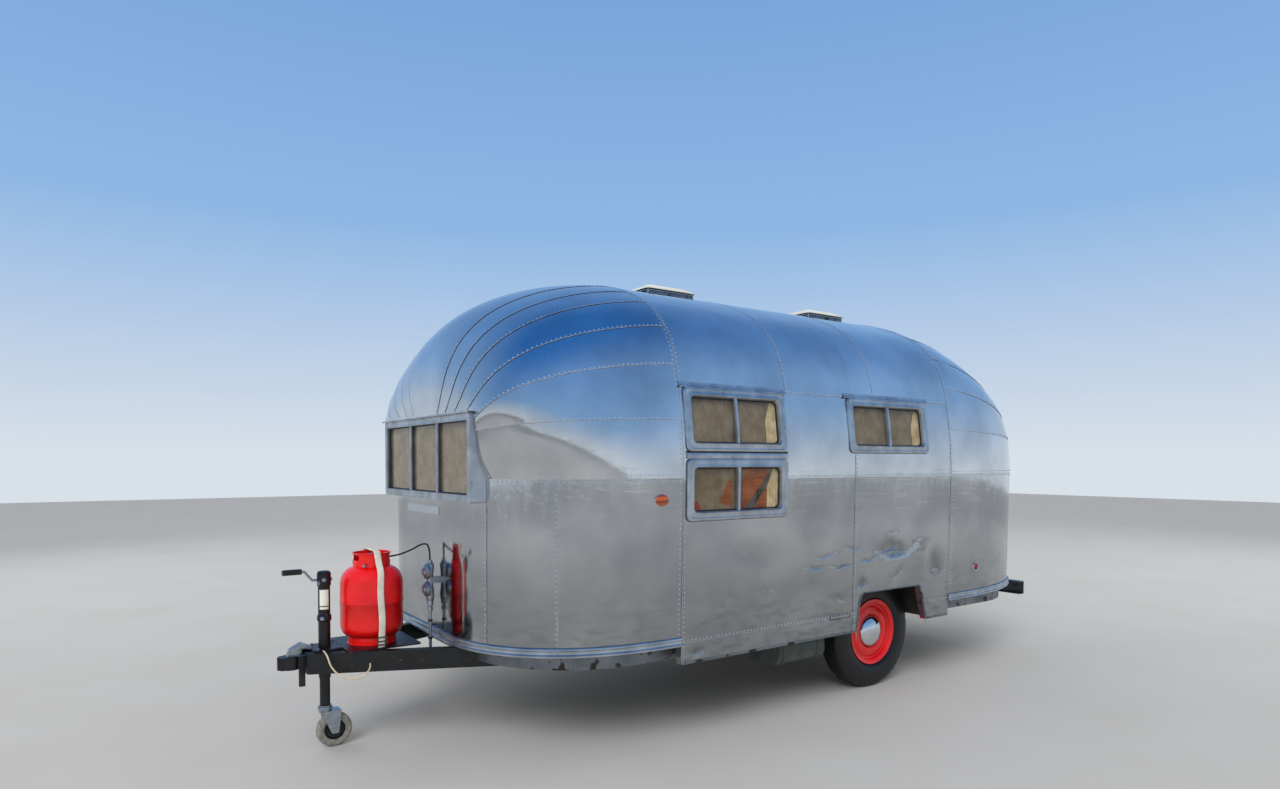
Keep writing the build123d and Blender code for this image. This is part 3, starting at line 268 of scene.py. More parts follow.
# Injection-moulded acrylic lamp lens with broad shallow flutes, one every 31 mm; the colour is the
# lens's own
def mouldedLens(name, colour, deep):
    material, tree, place = startFinish(name)
    wave = {"Vector": place, "Scale": 10.0, "Distortion": 0.3}
    flutes = addNode(tree, "TexWave", wave, 1, bands_direction="Z")
    tint = addNode(tree, "Mix", {0: flutes, 6: colour, 7: deep}, 2, data_type="RGBA")
    bump = addNode(tree, "Bump", {"Distance": 0.6 * mm, "Strength": 1.0, "Height": flutes})
    shader = addNode(tree, "BsdfPrincipled", {
        "Roughness": 0.12, "Coat Weight": 0.6, "Base Color": tint, "Normal": bump,
    })
    addNode(tree, "OutputMaterial", {"Surface": shader})
    return material


# Woven insect screen behind each pane: grey-brown, 1.6 mm weave drawn as 12 mm, a fifth open
def insectScreen():
    material, tree, place = startFinish("wovenInsectScreen")
    weave = 1.0
    for way, bend in (("Y", 0.6), ("Z", 0.5)):
        wave = {"Vector": place, "Scale": 26.0, "Distortion": bend}
        threads = addNode(tree, "TexWave", wave, 1, bands_direction=way)
        weave = addNode(tree, "Math", {0: weave, 1: threads}, operation="MULTIPLY")
    dust = addNode(tree, "MapRange", {0: cloud(tree, place, 11, 3.0, (1.0, 1.0, 0.12)), 1: 0.3, 2: 0.7})
    colour = addNode(tree, "Mix", {0: dust, 6: "#8C8577", 7: "#A19985"}, 2, data_type="RGBA")
    bump = addNode(tree, "Bump", {"Distance": 0.4 * mm, "Strength": 1.0, "Height": weave})
    cloth = addNode(tree, "BsdfPrincipled", {"Roughness": 0.85, "Base Color": colour, "Normal": bump})
    solid = addNode(tree, "MapRange", {0: weave, 1: 0.2, 2: 0.9, 3: 0.78, 4: 0.95})
    both = addNode(tree, "MixShader", {0: solid, 1: addNode(tree, "BsdfTransparent", {}), 2: cloth})
    addNode(tree, "OutputMaterial", {"Surface": both})
    return material


# Cotton curtain, plain weave with 0.6 mm threads drawn as 20 mm, yellowed in broad cloudy patches
def wovenCotton():
    material, tree, place = startFinish("wovenCottonCurtain")
    wave = {"Vector": place, "Scale": 16.0, "Distortion": 2.0}
    threads = addNode(tree, "TexWave", wave, 1, bands_direction="Z")
    age = addNode(tree, "MapRange", {0: cloud(tree, place, 120, 5.0), 1: 0.35, 2: 0.7})
    colour = addNode(tree, "Mix", {0: age, 6: "#E3D9BE", 7: "#C8B98F"}, 2, data_type="RGBA")
    bump = addNode(tree, "Bump", {"Distance": 0.3 * mm, "Strength": 1.0, "Height": threads})
    shader = addNode(tree, "BsdfPrincipled", {
        "Roughness": 0.9, "Sheen Weight": 0.2, "Base Color": colour, "Normal": bump,
    })
    addNode(tree, "OutputMaterial", {"Surface": shader})
    return material


finishes |= {
    "polishedAluminium": polishedAluminium(skinLook), "floatGlass": floatGlass(),
    "amberLens": mouldedLens("amberLens", "#B4530F", "#7A2C06"),
    "redLens": mouldedLens("redLens", "#B01818", "#6E0C0C"),
    "wovenInsectScreen": insectScreen(), "wovenCottonCurtain": wovenCotton(),
}
print("finishes made:", len(finishes))

# Camera and studio
view = {"eye": (4.10, -3.360, 1.437), "yaw": 55.08, "pitch": -1.42, "lens": 22.0, "shift": 0.067}
cameraData = bpy.data.cameras.new("camera")
cameraData.lens = view["lens"]
cameraData.shift_y = view["shift"]
cameraData.clip_end = 300
camera = bpy.data.objects.new("camera", cameraData)
camera.location = view["eye"]
camera.rotation_euler = (math.radians(90 + view["pitch"]), 0, math.radians(view["yaw"]))
bpy.context.collection.objects.link(camera)
bpy.context.scene.camera = camera
bpy.context.scene.view_settings.view_transform = "Standard"

studio = {
    "floor": "#BCBCBC", "floorPatch": "#B2B1AE", "floorSide": 60.0, "horizon": "#D9E1E8",
    "middle": "#8DB6E4", "zenith": "#3472BD", "diffuse": "#FFFFFF", "strength": 0.62,
}
lamps = {  # name: place, size, watts
    "keySoftbox": ((7.5, -9.0, 8.0), (9.0, 5.0), 520), "fillSoftbox": ((-9.0, -5.0, 6.0), (8.0, 5.0), 220),
    "backSoftbox": ((3.0, 11.0, 7.0), (9.0, 4.0), 380),
}
lampAim = Vector((0, 0, 1.2))
daylight = {"strength": 1.1, "spread": 0.5, "towards": (-0.45, 0.55, -0.7)}


def placeLamp(name, kind, towards, place=(0, 0, 0)):  # a lamp that gloss doesn't show
    data = bpy.data.lights.new(name, kind)
    lamp = bpy.data.objects.new(name, data)
    lamp.location = place
    lamp.rotation_euler = Vector(towards).to_track_quat("-Z", "Y").to_euler()
    lamp.visible_glossy = False
    bpy.context.collection.objects.link(lamp)
    return data


# The world is a plain white light on the object, and a pale sky where the camera, gloss or glass
# looks at it
def makeStudio():
    world = bpy.data.worlds.new("studioWorld")
    bpy.context.scene.world = world
    world.use_nodes = True
    tree = world.node_tree
    tree.nodes.clear()
    up = addNode(tree, "SeparateXYZ", {0: addNode(tree, "TexCoord", {}, "Generated")}, 2)
    sky = studio["horizon"]
    for low, high, colour in ((0.0, 0.28, studio["middle"]), (0.3, 0.95, studio["zenith"])):
        share = addNode(tree, "MapRange", {0: up, 1: low, 2: high})
        sky = addNode(tree, "Mix", {0: share, 6: sky, 7: colour}, 2, data_type="RGBA")
    backdrop = addNode(tree, "Background", {"Color": sky, "Strength": 1.0})
    soft = addNode(tree, "Background", {"Color": studio["diffuse"], "Strength": studio["strength"]})
    seen = 0.0
    for ray in ("Is Camera Ray", "Is Glossy Ray", "Is Transmission Ray"):
        seen = addNode(tree, "Math", {0: seen, 1: addNode(tree, "LightPath", {}, ray)}, operation="MAXIMUM")
    addNode(tree, "OutputWorld", {"Surface": addNode(tree, "MixShader", {0: seen, 1: soft, 2: backdrop})})
    for name, (place, size, watts) in lamps.items():
        data = placeLamp(name, "AREA", lampAim - Vector(place), place)
        data.shape = "RECTANGLE"
        data.size, data.size_y = size
        data.energy = watts
    data = placeLamp("highDaylight", "SUN", daylight["towards"])
    data.energy, data.angle = daylight["strength"], daylight["spread"]
    half = studio["floorSide"] / 2
    mesh = bpy.data.meshes.new("studioFloor")
    corners = [(-half, -half, 0), (half, -half, 0), (half, half, 0), (-half, half, 0)]
    mesh.from_pydata(corners, [], [(0, 1, 2, 3)])
    floor = bpy.data.objects.new("studioFloor", mesh)
    bpy.context.collection.objects.link(floor)
    material, tree, place = startFinish("paintedStudioFloor")
    shades = {0: cloud(tree, place, 900, 3.0), 6: studio["floor"], 7: studio["floorPatch"]}
    colour = addNode(tree, "Mix", shades, 2, data_type="RGBA")
    shader = addNode(tree, "BsdfPrincipled", {"Roughness": 0.85, "Base Color": colour})
    addNode(tree, "OutputMaterial", {"Surface": shader})
    mesh.materials.append(material)


makeStudio()
print("studio set")

# Which finish each CAD node wears
nodeFinishes = {
    "polishedAluminium": "left_wall right_wall roof front_dome front_lower rear_dome rear_lower door",
    "satinAluminium": "left_window_frames right_window_frames front_window_frame rear_window_frame "
    "front_moulding rear_moulding drip_caps vent_curbs",
    "blackPaintedSteel": "drawbar_left drawbar_right coupler jack_tube jack_leg gas_tray",
    "dirtySteel": "axle springs wheel_box_left wheel_box_right door_hinges",
    "zincPlatedSteel": "jack_fork gas_regulator coupler_latch jack_crank",
    "redEnamelSteel": "gas_bottle rim_left rim_right",
    "chromePlate": "hub_cap_left hub_cap_right door_handle",
    "greyCastRubber": "jockey_wheel",
    "mouldedTyreRubber": "tyre_left tyre_right",
    "sunYellowedPlastic": "vent_lid_front vent_lid_rear",
    "dullAluminium": "rear_bumper floor",
    "wovenPolyester": "bottle_strap",
    "blackExtrudedRubber": "gas_hose",
    "creamCablePlastic": "supply_cable",
    "chalkedTankPaint": "water_tank",
    "floatGlass": "left_glass right_glass front_glass rear_glass door_glass",
    "amberLens": "marker_lamps",
    "redLens": "tail_lamps",
}
for finish, names in nodeFinishes.items():
    for name in names.split():
        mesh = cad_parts[name].data
        mesh.materials.clear()
        mesh.materials.append(finishes[finish])
print("CAD nodes dressed")

# The body's own shape in millimetres: a lean skirt, then side, corner and crown arcs
shell = {
    "halfWidth": 1073.0, "skirtHalf": 1055.0, "beltZ": 1352.0, "skirtZ": 425.0, "railZ": 518.0,
    "sideR": 2459.0, "sideDeg": 13.2, "cornerR": 553.0, "cornerDeg": 61.9,
    "ringFront": -987.0, "ringRear": 1230.0,
}
seamTable = np.array([  # angle at the ring frame, and place on the flat nose: x, z
    (0.0, 250, 1352), (6.7, 250, 1552), (13.2, 243, 1565), (36.2, 218, 1572),
    (59.2, 175, 1578), (67.9, 120, 1583), (75.0, 62, 1587), (90.0, 0, 1589),
])
endShapes = {
    "front": dict(ringY=-987.0, depth=913.0, way=-1, planBelt=(2.4, 2.45), planDome=(1.2, 8.2), blend=2,
                  dropBelt=(1.3, 2.8), dropCrown=(1.63, 3.54), windowHalf=647.0, steps=62),
    "rear": dict(ringY=1230.0, depth=1340.0, way=1, planBelt=(2.6, 2.6), planDome=(2.2, 2.2), blend=7,
                 dropBelt=(1.5, 1.5), dropCrown=(1.5, 1.5), windowHalf=470.0, steps=84),
}
lastDegree = 84.0
lastShare = math.sin(math.radians(lastDegree))

sideA, cornerA = math.radians(shell["sideDeg"]), math.radians(shell["cornerDeg"])
sideC = np.array([shell["halfWidth"] - shell["sideR"], shell["beltZ"]])
cornerC = sideC + (shell["sideR"] - shell["cornerR"]) * np.array([math.cos(sideA), math.sin(sideA)])
crownR = shell["cornerR"] + cornerC[0] / math.cos(cornerA)
crownC = np.array([0.0, cornerC[1] - cornerC[0] * math.tan(cornerA)])
skirtLong = math.hypot(shell["halfWidth"] - shell["skirtHalf"], shell["beltZ"] - shell["skirtZ"])
arcRows = (
    (sideC, shell["sideR"], 0.0, sideA),
    (cornerC, shell["cornerR"], sideA, cornerA),
    (crownC, crownR, cornerA, math.pi / 2),
)
halfGirth = skirtLong + sum(radius * (high - low) for _, radius, low, high in arcRows)


# Half cross-section: a straight lean line up to the belt, then three arcs end to end. s is the
# length along it from the skirt, and lift moves the point outwards along the section's normal
def sectionPoint(s, lift):
    s = np.asarray(s, float)
    share = s / skirtLong
    x = shell["skirtHalf"] + (shell["halfWidth"] - shell["skirtHalf"]) * share
    z = shell["skirtZ"] + (shell["beltZ"] - shell["skirtZ"]) * share
    normalX = np.full_like(s, (shell["beltZ"] - shell["skirtZ"]) / skirtLong)
    normalZ = np.full_like(s, -(shell["halfWidth"] - shell["skirtHalf"]) / skirtLong)
    start = skirtLong
    for centre, radius, low, high in arcRows:
        turn = low + (s - start) / radius
        beyond = s >= start
        x = np.where(beyond, centre[0] + radius * np.cos(turn), x)
        z = np.where(beyond, centre[1] + radius * np.sin(turn), z)
        normalX = np.where(beyond, np.cos(turn), normalX)
        normalZ = np.where(beyond, np.sin(turn), normalZ)
        start += radius * (high - low)
    return x + normalX * lift, z + normalZ * lift


girthSamples = np.linspace(0, halfGirth, 800)
girthHeights = sectionPoint(girthSamples, 0)[1]


def girthAt(z):  # length along the section at a height
    return np.interp(z, girthHeights, girthSamples)


# Middle of the body: the cross-section carried along y, and w is the girth from the crown, minus
# on the right
def bodyPoint(w, y, lift):
    w, y = np.broadcast_arrays(np.asarray(w, float), np.asarray(y, float))
    x, z = sectionPoint(halfGirth - np.abs(w), lift)
    x = np.where(w >= 0, x, -x)
    return np.stack([x, y, z], -1)


def swell(u, powers):  # share of the way from the ring frame to the nose at depth share u
    return 1 - (1 - np.clip(u, 0, 1) ** powers[0]) ** (1 / powers[1])


def ringPoint(degrees, lift):  # half section at the ring frame, by angle from the belt to the crown
    turn = np.radians(degrees)
    x, z = np.zeros_like(turn), np.zeros_like(turn)
    for centre, radius, _, high in arcRows[::-1]:
        inside = turn <= high + 1e-9
        x = np.where(inside, centre[0] + (radius + lift) * np.cos(turn), x)
        z = np.where(inside, centre[1] + (radius + lift) * np.sin(turn), z)
    return x, z


# Outline of a dome at depth share u: place 0 is the belt and 7 the crown, in half steps. Each point
# goes from the ring frame to the nose by the swell curve, by its own powers in plan and in height
def domeOutline(end, place, u, lift):
    place = np.asarray(place, float)
    index = np.arange(8)
    degrees = np.interp(place, index, seamTable[:, 0])
    noseX = np.interp(place, index, seamTable[:, 1])
    noseZ = np.interp(place, index, seamTable[:, 2])
    middle = np.abs(place - np.floor(place) - 0.5) < 0.01
    lower = np.clip(np.floor(place).astype(int), 0, 6)
    chord = seamTable[lower + 1, 1:] - seamTable[lower, 1:]
    noseX = noseX + np.where(middle, 0.04 * chord[..., 1], 0) + lift
    noseZ = noseZ - np.where(middle, 0.04 * chord[..., 0], 0) + lift * (place > 0)
    noseX = np.where(place > 6.99, 0, noseX)
    ringX, ringZ = ringPoint(degrees, lift)
    ringX = np.where(place > 6.99, 0, ringX)
    shareBelt = np.clip(place / end["blend"], 0, 1)
    plan = [a + (b - a) * shareBelt for a, b in zip(end["planBelt"], end["planDome"])]
    drop = [a + (b - a) * place / 7 for a, b in zip(end["dropBelt"], end["dropCrown"])]
    x = ringX + (noseX - ringX) * swell(u, plan)
    z = ringZ + (noseZ - ringZ) * swell(u, drop)
    return x, z


# Dome surface. q counts the thirteen gores from the left belt over the crown to the right belt, and
# deg is 0 at the ring frame and 84 at the flat nose. Across a gore the point runs on the parabola
# through its two seams and its middle; past 84 it closes on the nose's middle in a plane
def domePoint(end, q, deg, lift):
    q, deg, lift = np.broadcast_arrays(np.asarray(q, float), np.asarray(deg, float), np.asarray(lift, float))
    gore = np.clip(np.floor(q), 0, 12)
    v = q - gore
    right = gore > 6
    goreUp = np.where(right, 12 - gore, gore)
    vUp = np.where(right, 1 - v, v)
    top = goreUp == 6
    u = np.sin(np.radians(np.minimum(deg, lastDegree)))
    first = domeOutline(end, goreUp, u, lift)
    half = domeOutline(end, np.where(top, 7, goreUp + 0.5), u, lift)
    last = domeOutline(end, np.where(top, 6, goreUp + 1), u, lift)
    lastX = np.where(top, -last[0], last[0])
    weights = ((1 - vUp) * (1 - 2 * vUp), 4 * vUp * (1 - vUp), vUp * (2 * vUp - 1))
    x = weights[0] * first[0] + weights[1] * half[0] + weights[2] * lastX
    z = weights[0] * first[1] + weights[1] * half[1] + weights[2] * last[1]
    x = np.where(right, -x, x)
    y = end["ringY"] + end["way"] * (end["depth"] + lift) * u / lastShare
    close = np.clip((deg - lastDegree) / 16, 0, 1)
    x = x * (1 - close)
    z = z + (shell["beltZ"] - z) * close
    return np.stack([x, y, z], -1)


# Lower pan: walls ruled from the rail up to the belt. c runs from the left ring frame (0) round the
# nose (1) to the right one (2), and h from the rail to the belt
def panPoint(end, c, h, lift):
    c, h = np.broadcast_arrays(np.asarray(c, float), np.asarray(h, float))
    fold = 1 - np.abs(c - 1)
    flatFrom = 0.72
    u = np.sin(np.radians(np.minimum(fold / flatFrom, 1) * lastDegree))
    close = np.clip((fold - flatFrom) / (1 - flatFrom), 0, 1)
    side = np.where(c <= 1, 1.0, -1.0)
    beltX = domeOutline(end, np.zeros_like(c), u, lift)[0]
    skirtNose = seamTable[0, 1] * shell["skirtHalf"] / shell["halfWidth"] + lift
    skirtX = shell["skirtHalf"] + lift + (skirtNose - shell["skirtHalf"] - lift) * swell(u, end["planBelt"])
    x = (skirtX + (beltX - skirtX) * h) * (1 - close) * side
    z = shell["railZ"] + (shell["beltZ"] - shell["railZ"]) * h
    y = end["ringY"] + end["way"] * (end["depth"] + lift) * u / lastShare
    return np.stack([x, y, z], -1)


# Turns grid rows and columns into quads
def gridQuads(rows, columns, closed=False):
    r, c = np.meshgrid(np.arange(rows - 1), np.arange(columns if closed else columns - 1), indexing="ij")
    right = (c + 1) % columns
    low, high = r * columns, (r + 1) * columns
    return np.stack([low + c, low + right, high + right, high + c], -1).reshape(-1, 4)


# Joins patches of (points, faces) in one list of points
def joinPatches(patches):
    points, polygons, start = [], [], 0
    for patchPoints, patchFaces in patches:
        patchPoints = np.asarray(patchPoints, float).reshape(-1, 3)
        points.append(patchPoints)
        polygons.append(np.asarray(patchFaces) + start)
        start += len(patchPoints)
    return np.concatenate(points), polygons


# Puts millimetre points and faces in a mesh and lets it ride on a body. tones holds a shade for each
# patch, extra is more faces, and tidy merges doubles and turns the faces outwards
def addPiece(
    name, patches, finish, body="caravan", sharp=35, slot=None, tidy=True, tones=None, flip=False, extra=(),
):
    points, polygons = joinPatches(patches)
    mesh = bpy.data.meshes.new(name)
    rows = [row for part in polygons for row in part.tolist()] + np.asarray(extra).tolist()
    if flip:
        rows = [row[::-1] for row in rows]
    mesh.from_pydata((points * mm).tolist(), [], rows)
    if tones is not None:
        layer = mesh.attributes.new("tone", "FLOAT", "POINT")
        shades = np.repeat(tones, [len(patch[0]) for patch in patches])
        layer.data.foreach_set("value", shades.astype(np.float32))
    if tidy:
        shape = bmesh.new()
        shape.from_mesh(mesh)
        bmesh.ops.remove_doubles(shape, verts=shape.verts, dist=1e-6)
        bmesh.ops.recalc_face_normals(shape, faces=shape.faces)
        shape.to_mesh(mesh)
        shape.free()
    mesh.shade_smooth()
    mesh.set_sharp_from_angle(angle=math.radians(sharp))
    mesh.materials.append(finishes[finish])
    piece = bpy.data.objects.new(name, mesh)
    bpy.context.collection.objects.link(piece)
    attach(piece, body)
    return piece


def ringStack(rings, around=True):  # patch through rings of equal count and back to the first
    grid = np.stack(rings + rings[:1])
    return grid.reshape(-1, 3), gridQuads(len(grid), grid.shape[1], around)


def cappedRings(rings):  # tube through rings of equal count with flat ends, as three patches
    count = len(rings[0])
    end = np.arange(count)[None]
    tube = (np.reshape(rings, (-1, 3)), gridQuads(len(rings), count, True))
    return [tube, (rings[0], end), (rings[-1], end[:, ::-1])]


def levelRing(outline, z):  # outline in (x, y) laid at a height
    return np.column_stack([outline, np.full(len(outline), z)])


def uprightRing(outline, y):  # outline in (x, z) stood at a place along the body
    return np.column_stack([outline[:, 0], np.full(len(outline), y), outline[:, 1]])


def boxPatch(low, high):  # box between two corners
    corners = [[(low, high)[(k >> i) & 1][i] for i in range(3)] for k in range(8)]
    return corners, [(0, 1, 3, 2), (4, 6, 7, 5), (0, 4, 5, 1), (2, 3, 7, 6), (0, 2, 6, 4), (1, 5, 7, 3)]


def insideOutline(points, outline):  # even-odd test, one edge of the outline at a time
    inside = np.zeros(len(points), bool)
    for (ax, ay), (bx, by) in zip(outline, np.roll(outline, -1, 0)):
        if ay == by:
            continue
        crosses = (ay > points[:, 1]) != (by > points[:, 1])
        inside ^= crosses & (points[:, 0] < (bx - ax) * (points[:, 1] - ay) / (by - ay) + ax)
    return inside


# Rounded rectangle in two parameters, anticlockwise, with the same points at any size
def roundedOutline(lowA, highA, lowB, highB, radius, steps=6):
    turn = np.linspace(0, math.pi / 2, steps)
    corners = []
    for a, b, start in (
        (highA - radius, highB - radius, 0), (lowA + radius, highB - radius, 1),
        (lowA + radius, lowB + radius, 2), (highA - radius, lowB + radius, 3),
    ):
        angle = turn + start * math.pi / 2
        corners.append(np.stack([a + radius * np.cos(angle), b + radius * np.sin(angle)], -1))
    return np.concatenate(corners)


# Sheet over a rectangle of parameters, with holes or within an outline: grid points joined by
# Delaunay triangles that keep the outlines, less the triangles in a hole or outside
def sheetTriangles(lowA, highA, lowB, highB, step, holes=(), within=None):
    countA = max(2, int(round((highA - lowA) / step)) + 1)
    countB = max(2, int(round((highB - lowB) / step)) + 1)
    a, b = np.meshgrid(np.linspace(lowA, highA, countA), np.linspace(lowB, highB, countB), indexing="ij")
    grid = np.stack([a, b], -1).reshape(-1, 2)
    outlines = [np.asarray(hole) for hole in holes] + ([np.asarray(within)] if within is not None else [])
    keep = np.ones(len(grid), bool)
    for outline in outlines:
        dense = np.concatenate([
            outline + (np.roll(outline, -1, 0) - outline) * t for t in np.linspace(0, 1, 12, endpoint=False)
        ])
        near = np.min(np.hypot(*(grid[:, None] - dense[None]).transpose(2, 0, 1)), 1) < step * 0.3
        edge = (grid[:, 0] == lowA) | (grid[:, 0] == highA) | (grid[:, 1] == lowB) | (grid[:, 1] == highB)
        keep &= ~near | edge
    for hole in outlines[: len(holes)]:
        keep &= ~insideOutline(grid, hole)
    points = [grid[keep]]
    links, start = [], int(keep.sum())
    for outline in outlines:
        count = len(outline)
        points.append(outline)
        links += [(start + i, start + (i + 1) % count) for i in range(count)]
        start += count
    flat = [tuple(p) for p in np.concatenate(points)]
    result = geometry.delaunay_2d_cdt([Vector(p) for p in flat], links, [], 0, 1e-5)
    flat = np.array([tuple(p) for p in result[0]])
    triangles = np.array([row for row in result[2] if len(row) == 3])
    middle = flat[triangles].mean(1)
    keep = (middle[:, 0] > lowA) & (middle[:, 0] < highA) & (middle[:, 1] > lowB) & (middle[:, 1] < highB)
    for hole in outlines[: len(holes)]:
        keep &= ~insideOutline(middle, hole)
    if within is not None:
        keep &= insideOutline(middle, outlines[-1])
    return flat, triangles[keep]


# Openings of the middle: side, y from, y to, z from, z to
windows = {
    "leftFrontLow": (1, -967, -272, 1137, 1448), "leftFrontHigh": (1, -967, -272, 1483, 1805),
    "leftRear": (1, 243, 988, 1483, 1805), "rightFront": (-1, -945, -540, 1483, 1805),
    "rightRear": (-1, 243, 988, 1483, 1805),
}
doorEdges = (-435, 195, 545, 2040)
doorPane = (-285, 45, 1330, 1740)
vents = {"front": -385.0, "rear": 1025.0}
ventHalf = 178.0
arch = ((325, 345), (1005, 345), (942, 610), (932, 638), (905, 650), (400, 650), (372, 640), (355, 612))


def wallAt(z):  # girth from the crown down the wall to a height
    return halfGirth - girthAt(z)


def wallOutline(side, yLow, yHigh, zLow, zHigh, radius, inset=0.0, steps=6):  # in (w, y)
    w = sorted((side * (wallAt(zLow) - inset), side * (wallAt(zHigh) + inset)))
    return roundedOutline(*w, yLow + inset, yHigh - inset, radius, steps)


def archOutline(side):  # wheel arch in (w, y), which runs on below the skirt
    y, z = np.array(arch, float).T
    s = np.where(z < shell["skirtZ"], -60, girthAt(z))
    return np.stack([side * (halfGirth - s), y], -1)


skinHoles = [wallOutline(*row, 12.0, 14.0) for row in windows.values()]
skinHoles += [archOutline(side) for side in (1, -1)]
skinHoles.append(wallOutline(-1, *doorEdges, 90.0, 0.0, 10))
curb = ventHalf - 6
skinHoles += [roundedOutline(-curb, curb, y - curb, y + curb, 4, 3) for y in vents.values()]
beltW = halfGirth - skirtLong
gutterW = wallAt(1812)
lapY = 290.0
skinPanels = [  # w from, w to, lift, tone, for the front and the rear of the lap
    (beltW + 8, halfGirth, 0.8, (0.93, 0.97)), (gutterW, beltW + 12, 1.6, (0.98, 0.94)),
    (0, gutterW + 4, 2.2, (0.96, 1.0)), (-gutterW - 4, 0, 2.2, (0.96, 1.0)),
    (-beltW - 12, -gutterW, 1.6, (0.97, 0.95)), (-halfGirth, -beltW - 8, 0.8, (0.95, 0.98)),
]
patches, tones = [], []
for wLow, wHigh, lift, shades in skinPanels:
    for part, edges in enumerate(((shell["ringFront"], lapY), (lapY, shell["ringRear"]))):
        flat, triangles = sheetTriangles(wLow, wHigh, *edges, 30.0, skinHoles)
        patches.append((bodyPoint(flat[:, 0], flat[:, 1], lift + 0.3 * part), triangles))
        tones.append(shades[part])
skin = {"finish": "polishedAluminium", "tidy": False}
addPiece("bodySkin", patches, **skin, tones=tones, sharp=60, flip=True)
print("middle skin made")


def behindWindow(end, points, grow, low, high):  # points of an end's skin that its window covers
    near = np.abs(points[:, 1] - end["ringY"] - end["way"] * end["depth"]) < 450
    near &= np.abs(points[:, 0]) < end["windowHalf"] + grow
    return near & (points[:, 2] > low) & (points[:, 2] < high)


def cutWindow(end, points, columns):  # grid of points as a patch, open behind the end's window
    points, quads = points.reshape(-1, 3), gridQuads(len(points), columns)
    return points, quads[~behindWindow(end, points[quads].mean(1), -19, 1255, 1649)]


# End skins: a patch for each gore, and the lower pan in five sheets, cut away behind the window
random = np.random.default_rng(11)
goreSpans = (6, 8, 22, 24, 12, 10, 26, 10, 12, 24, 22, 8, 6)  # columns in each gore
panSheets = ((0, 0.36, 2.2), (0.36, 0.58, 1.4), (0.58, 1.42, 2.2), (1.42, 1.64, 1.4), (1.64, 2, 2.2))
capDegrees = np.linspace(lastDegree, 100, 22)[1:]
for name, end in endShapes.items():
    degrees = np.concatenate([np.linspace(0, lastDegree, end["steps"]), capDegrees])
    patches, tones = [], []
    for gore, span in enumerate(goreSpans):
        v, deg = np.meshgrid(np.linspace(0, 1, span + 1), degrees, indexing="ij")
        lift = 3.4 - 1.4 * (0 * v if gore == 6 else v if gore < 6 else 1 - v)
        points = domePoint(end, gore + np.minimum(v, 0.999999), deg, lift)
        patches.append(cutWindow(end, points, len(degrees)))
        tones.append(0.93 + 0.07 * random.random())
    addPiece(name + "DomeSkin", patches, **skin, tones=tones, sharp=50, flip=end["way"] > 0)
    patches, tones = [], []
    for cLow, cHigh, lift in panSheets:
        columns = int((cHigh - cLow) * (62 if name == "front" else 90))
        c, h = np.meshgrid(np.linspace(cLow, cHigh, columns + 1), np.linspace(0, 1, 36), indexing="ij")
        patches.append(cutWindow(end, panPoint(end, c, h, lift), 36))
        tones.append(0.92 + 0.08 * random.random())
    addPiece(name + "PanSkin", patches, **skin, tones=tones, sharp=50, flip=end["way"] < 0)
print("end skins made")

# Door skin, riding on the door
flat, triangles = sheetTriangles(
    -girthAt(0) - halfGirth, 0, -460, 220, 30.0,
    [wallOutline(-1, *doorPane, 28.0, 0.0, 8)], wallOutline(-1, *doorEdges, 82.0, 8.0, 10),
)
patches = [(bodyPoint(flat[:, 0], flat[:, 1], 0.8), triangles)]
addPiece("doorSkin", patches, **skin, body="door", tones=[0.96], sharp=60, flip=True)

# CAD walls under the skins carry the tone too
for name in nodeFinishes["polishedAluminium"].split():
    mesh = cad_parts[name].data
    tone = mesh.attributes.new("tone", "FLOAT", "POINT")
    tone.data.foreach_set("value", np.full(len(mesh.vertices), 0.95, np.float32))


# Point, direction along a, direction along b and outward normal of a surface function
def surfaceFrame(surface, a, b, stepA=1.0, stepB=1.0):
    point = surface(a, b)
    alongA = surface(a + stepA, b) - surface(a - stepA, b)
    alongB = surface(a, b + stepB) - surface(a, b - stepB)
    alongA /= np.linalg.norm(alongA, axis=-1, keepdims=True) + 1e-9
    alongB /= np.linalg.norm(alongB, axis=-1, keepdims=True) + 1e-9
    normal = np.cross(alongA, alongB)
    normal /= np.linalg.norm(normal, axis=-1, keepdims=True) + 1e-9
    core = np.clip(point, (0, shell["ringFront"], 1200), (0, shell["ringRear"], 1200))
    turn = np.sign(np.sum(normal * (point - core), -1, keepdims=True))
    return point, alongA, alongB, normal * turn


def evenPlaces(points, pitch, start):  # places every pitch mm along a line of points
    along = np.concatenate([[0], np.cumsum(np.linalg.norm(np.diff(points, axis=0), axis=1))])
    return np.interp(np.arange(start, along[-1], pitch), along, np.arange(len(points)))


